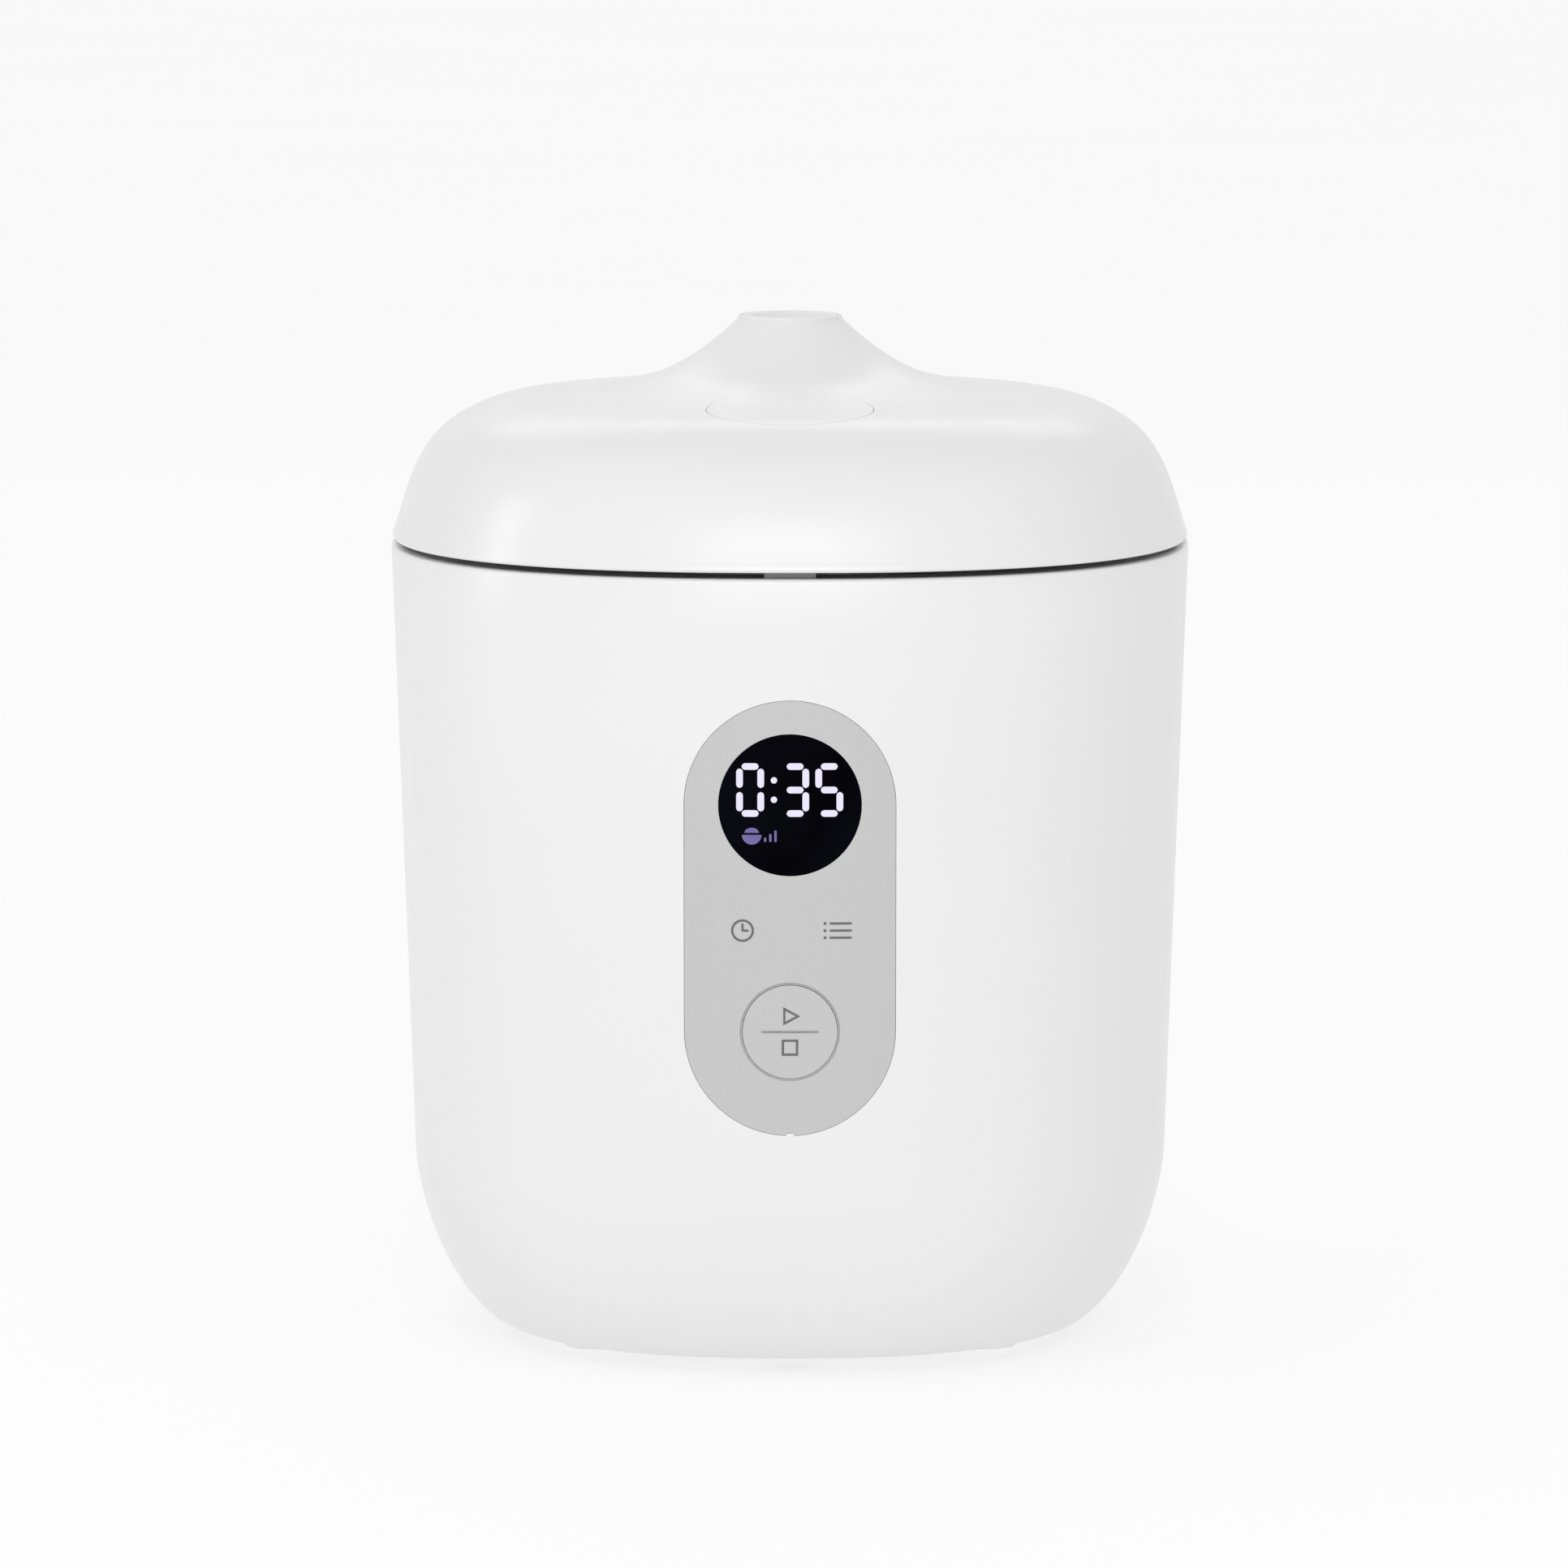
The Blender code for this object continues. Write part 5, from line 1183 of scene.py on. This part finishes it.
def make_steam_cap():
    low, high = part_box("steam_cap")
    radius = high.x
    top = high.z
    wall = CAP_WALL
    dish = top - CAP_DISH
    profile = [(0.0, dish)]
    profile += bezier((radius - 0.0052, dish), (radius - 0.0028, dish), (radius - 0.0020, dish + 0.0008),
                      (radius - 0.0013, top - 0.0004), 10)
    inside = radius - wall
    profile += [(radius - 0.0010, top - 0.0001), (radius - 0.0007, top), (radius - 0.0002, top),
                (radius, top - 0.0002), (radius, low.z), (inside, low.z), (inside, dish - 0.0030),
                (inside - 0.0016, dish - wall), (0.0, dish - wall)]
    cap = turned("steam_cap_cup", profile, steps=128, closed=False)
    holes = []
    for index, centre in enumerate(arc((0.0, 0.0), STEAM_HOLE_REACH, 90, 330, 2)):
        name = "steam_hole_" + str(index)
        holes.append(bar(name, "Z", centre, STEAM_HOLE_RADIUS, dish - 0.003, dish + 0.001, 24))
    carve(cap, "DIFFERENCE", *holes)
    finish_piece(cap, "cap", "lid_white", ["steam_cap"])


def make_housing(guide):
    housing = lid_block("hinge_housing_cap")
    carve(housing, "INTERSECT", hinge_bar("housing_bar", HOUSING_RADIUS, -HOUSING_HALF, HOUSING_HALF))
    base = block("housing_base", (-HOUSING_HALF + 0.001, HINGE_Y - 0.0062, HOUSING_LOW.z),
                 (HOUSING_HALF - 0.001, HINGE_Y - 0.0005, RIM_Z + 0.0003))
    carve(housing, "UNION", base)
    spaces = []
    for side, label in SIDES:
        start = side * KNUCKLE_X - KNUCKLE_LENGTH / 2 - KNUCKLE_ROOM
        end = start + KNUCKLE_LENGTH + 2 * KNUCKLE_ROOM
        spaces.append(hinge_bar("knuckle_space_" + label, KNUCKLE_RADIUS + KNUCKLE_ROOM, start, end, 48))
        spaces.append(block("arm_space_" + label, (start + 0.0001, HINGE_Y - 0.020, RIM_Z + 0.0010),
                            (end - 0.0001, HINGE_Y + 0.0045, HINGE_Z + 0.020)))
    half = HINGE_PIN_HIGH.x + 0.0003
    spaces.append(hinge_bar("housing_bore", PIN_BORE, -half, half, 32))
    spaces.append(hinge_bar("spring_space", HINGE_SPRING_ROOM, -HINGE_SPRING_HALF, HINGE_SPRING_HALF, 32))
    carve(housing, "DIFFERENCE", *spaces)
    finish_skin(housing, guide, "base", "body_white", "hinge_housing")


def make_liner():
    """The lid's inner face with its raised edge, latch slot and hinge arms."""
    outer = HALF_WIDTH - LID_WALL - 0.0012
    recess = PLATE_HIGH.x + 0.0020
    low = LINER_LOW.z
    floor = low + LINER_RECESS
    roof = floor + LINER_SKIN
    rim_top = low + LINER_EDGE
    neck = NECK_BOTTOM - 0.0003
    profile = softened([(VENT_BORE, neck), (NECK_OUTER, neck), (NECK_OUTER, roof), (recess - 0.0010, roof),
                        (recess + 0.0022, rim_top), (outer, rim_top), (outer, low, 0.0005),
                        (recess, low, 0.0007), (recess - 0.0020, floor, 0.0006), (LINER_HOLE, floor),
                        (LINER_HOLE, roof), (VENT_BORE, roof)])
    liner = turned("lid_liner_tray", profile, power_at=square_beyond((outer + recess) / 2))
    clearance = 0.0005
    reach = HOUSING_HALF + clearance
    notch = hinge_bar("liner_notch", HOUSING_RADIUS + clearance, -reach, reach)
    slot = rounded_block("latch_slot", (-LATCH_SLOT_HALF, -HALF_WIDTH, low - 0.001),
                         (LATCH_SLOT_HALF, LATCH_SLOT_END, rim_top + 0.001), 0.0008)
    carve(liner, "DIFFERENCE", notch, slot)
    for side, label in SIDES:
        start = side * KNUCKLE_X - KNUCKLE_LENGTH / 2
        end = start + KNUCKLE_LENGTH
        knuckle = hinge_bar("knuckle_" + label, KNUCKLE_RADIUS, start, end, 48)
        arm = prism("hinge_arm_" + label,
                    [(HINGE_Y - 0.0142, floor + 0.0005), (HINGE_Y - 0.0085, floor + 0.0005),
                     (HINGE_Y - 0.0050, HINGE_Z - 0.0045), (HINGE_Y, HINGE_Z - 0.0030),
                     (HINGE_Y, HINGE_Z + 0.0030), (HINGE_Y - 0.0040, HINGE_Z + 0.0030),
                     (HINGE_Y - 0.0142, roof + 0.0030)], "X", start, end)
        bore = hinge_bar("bore_" + label, PIN_BORE, start - 0.001, end + 0.001, 32)
        carve(liner, "UNION", knuckle, arm)
        carve(liner, "DIFFERENCE", bore)
    recesses = []
    for screw in ("lid_screw_" + str(index) for index in range(1, 5)):
        centre = middle_of(screw)
        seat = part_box(screw)[0].z + 0.0013
        recesses.append(bar(screw + "_recess", "Z", centre, 0.0032, low - 0.002, seat, 40))
        recesses.append(bar(screw + "_hole", "Z", centre, 0.0017, low - 0.002, rim_top + 0.002, 24))
    carve(liner, "DIFFERENCE", *recesses)
    finish_piece(liner, "lid", "inner_white", ["lid_liner"])


def make_inner_plate():
    """A pressed aluminium plate with two raised rings and a rolled edge."""
    radius = PLATE_HIGH.x
    low = PLATE_LOW.z
    top = PLATE_HIGH.z
    line = [(PLATE_HOLE, low)]
    for ring in PLATE_RINGS:
        for reach, lift in ((0.0, 0.0), (0.0015, PLATE_RING_RISE), (0.0045, PLATE_RING_RISE), (0.0060, 0.0)):
            line.append((ring + reach, low + lift))
    line.append((radius - 0.0005, low))
    line.append((radius, low + 0.0004))
    plate = turned("inner_lid_plate_disc", line + [(radius, top), (PLATE_HOLE, top)], steps=160)
    finish_piece(plate, "lid", "aluminium", ["inner_lid_plate"])


def make_gasket():
    low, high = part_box("lid_gasket")
    edge = PLATE_HIGH.x
    lip = edge - 0.0060
    base = low.z
    top = high.z
    profile = softened([(lip, top, 0.0003), (edge - 0.0006, top), (edge - 0.0006, PLATE_LOW.z - 0.0012),
                        (high.x, base + 0.0004, 0.0002), (edge + 0.0004, base, 0.0002),
                        (edge - 0.0030, base, 0.0004), (lip, PLATE_LOW.z - 0.0020, 0.0004)])
    gasket = turned("lid_gasket_ring", profile, steps=160)
    finish_piece(gasket, "lid", "silicone", ["lid_gasket"])


# ---- springs that are pressed

def spring_points(centre_y, radius, low, high):
    """A coil whose first and last turn lie nearly flat."""
    points = []
    count = SPRING_TURNS * SPRING_STEPS
    for index in range(count + 1):
        share = index / count
        height = low + (high - low) * (share - 0.08 * math.sin(math.tau * share))
        angle = math.tau * index / SPRING_STEPS
        points.append((radius * math.cos(angle), centre_y + radius * math.sin(angle), height))
    return points


def make_spring(node, body):
    """A round wire spring that fills its solid's box."""
    low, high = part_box(node)
    radius = high.x - SPRING_WIRE
    points = spring_points((low.y + high.y) / 2, radius, low.z + SPRING_WIRE, high.z - SPRING_WIRE)
    curve = bpy.data.curves.new(node + "_coil", "CURVE")
    curve.dimensions = "3D"
    curve.bevel_depth = SPRING_WIRE
    curve.bevel_resolution = 3
    curve.use_fill_caps = True
    mesh = curve_mesh(node, curve, [points], False)
    tidy_mesh(mesh)
    mesh.shade_smooth()
    spring = finish_piece(new_object(node + "_coil", mesh), body, "steel", [node])
    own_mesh(spring)


# ---- carried-over solids

# The latch parts show through the seam between lid and body; their steel is made dark as painted shade, so
# they stay as dark as the shaded seam
SHADE_REPAINTED = {"latch_lever": "dark_steel", "latch_pin": "dark_steel", "latch_keeper": "dark_steel"}


def repaint_frame():
    """Give every solid that is still shown the finish of its slot; the latch parts get a darker steel as
    painted shade.
    """
    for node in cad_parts.values():
        for slot in node.material_slots:
            name = SHADE_REPAINTED.get(node.name, slot.material.name.split(".")[0])
            slot.material = FINISHES[name]
        node.data.shade_smooth()


# ---- studio

def make_floor():
    """A pale, softly lit table that runs out past the picture on every side."""
    shape = bmesh.new()
    bmesh.ops.create_circle(shape, cap_ends=True, segments=128, radius=14.0)
    mesh = bpy.data.meshes.new("studio_floor")
    shape.to_mesh(mesh)
    shape.free()
    floor = new_object("studio_floor", mesh)
    paint = Paint("studio_floor_paint", 1.0)
    paint.mottle(grey(0.298), grey(0.302), 3.0)
    paint.set(Specular_IOR_Level=0.0, Emission_Color=(1.0, 1.0, 1.0, 1.0), Emission_Strength=0.68)
    mesh.materials.append(paint.material)


def soft_light(name, place, target, size, power):
    light = bpy.data.lights.new(name, "AREA")
    light.shape = "RECTANGLE"
    light.size, light.size_y = size
    light.energy = power
    lamp = new_object(name, light)
    lamp.location = place
    lamp.rotation_mode = "QUATERNION"
    lamp.rotation_quaternion = (Vector(target) - Vector(place)).to_track_quat("-Z", "Y")


def make_studio():
    """Even white light, dimmer to the sides, with a strip on the left, a fill in front and one behind."""
    world = bpy.data.worlds.new("studio_world")
    bpy.context.scene.world = world
    world.use_nodes = True
    nodes = world.node_tree.nodes
    links = world.node_tree.links
    background = nodes["Background"]
    background.inputs["Color"].default_value = (1.0, 1.0, 1.0, 1.0)
    direction = nodes.new("ShaderNodeSeparateXYZ")
    links.new(nodes.new("ShaderNodeTexCoord").outputs["Generated"], direction.inputs["Vector"])
    sideways = nodes.new("ShaderNodeMath")
    sideways.operation = "POWER"
    sideways.inputs[1].default_value = SIDE_FALL
    links.new(direction.outputs["X"], sideways.inputs[0])
    dimming = nodes.new("ShaderNodeMapRange")
    dimming.inputs["To Min"].default_value = ROOM_LIGHT
    dimming.inputs["To Max"].default_value = SIDE_LIGHT
    links.new(sideways.outputs["Value"], dimming.inputs["Value"])
    links.new(dimming.outputs["Result"], background.inputs["Strength"])
    middle = (0.0, 0.0, 0.11)
    soft_light("strip_left", (-1.64, -0.16, 0.52), middle, (0.3, 1.0), 3.2)
    soft_light("front_fill", (0.0, -1.83, 0.63), middle, (0.9, 0.9), 9.5)
    soft_light("back_light", (0.0, 1.56, 1.20), middle, (1.2, 0.6), 1.4)
    bpy.context.scene.view_settings.view_transform = "Standard"


def make_camera():
    camera = bpy.data.cameras.new("camera")
    camera.lens = 206.25
    camera.sensor_width = 36.0
    camera.shift_x = -0.0038
    camera.clip_start = 0.05
    camera.clip_end = 60.0
    holder = new_object("camera", camera)
    holder.location = CAMERA_PLACE
    holder.rotation_euler = (math.radians(90.0 - CAMERA_TILT), 0.0, 0.0)
    bpy.context.scene.camera = holder


# ---- everything

FINISHES = make_finishes()


def main():
    make_camera()
    make_studio()
    make_floor()
    repaint_frame()
    body_guide = turned("body_guide", body_outer_line(), power_at=body_power, closed=False)
    lid_guide = turned("lid_guide", lid_outer_line(), power_at=lid_power, closed=False)
    make_outer_body(body_guide.data)
    make_panel(body_guide.data)
    make_display()
    make_touch_signs()
    make_key_signs()
    make_feet()
    make_deck()
    make_pot()
    make_inlet()
    make_screws()
    make_cover(lid_guide.data)
    make_button(lid_guide.data)
    make_steam_cap()
    make_housing(lid_guide.data)
    make_liner()
    make_inner_plate()
    make_gasket()
    make_spring("sensor_spring", "base")
    make_spring("button_spring", "lid")
    bpy.data.objects.remove(body_guide)
    bpy.data.objects.remove(lid_guide)


main()
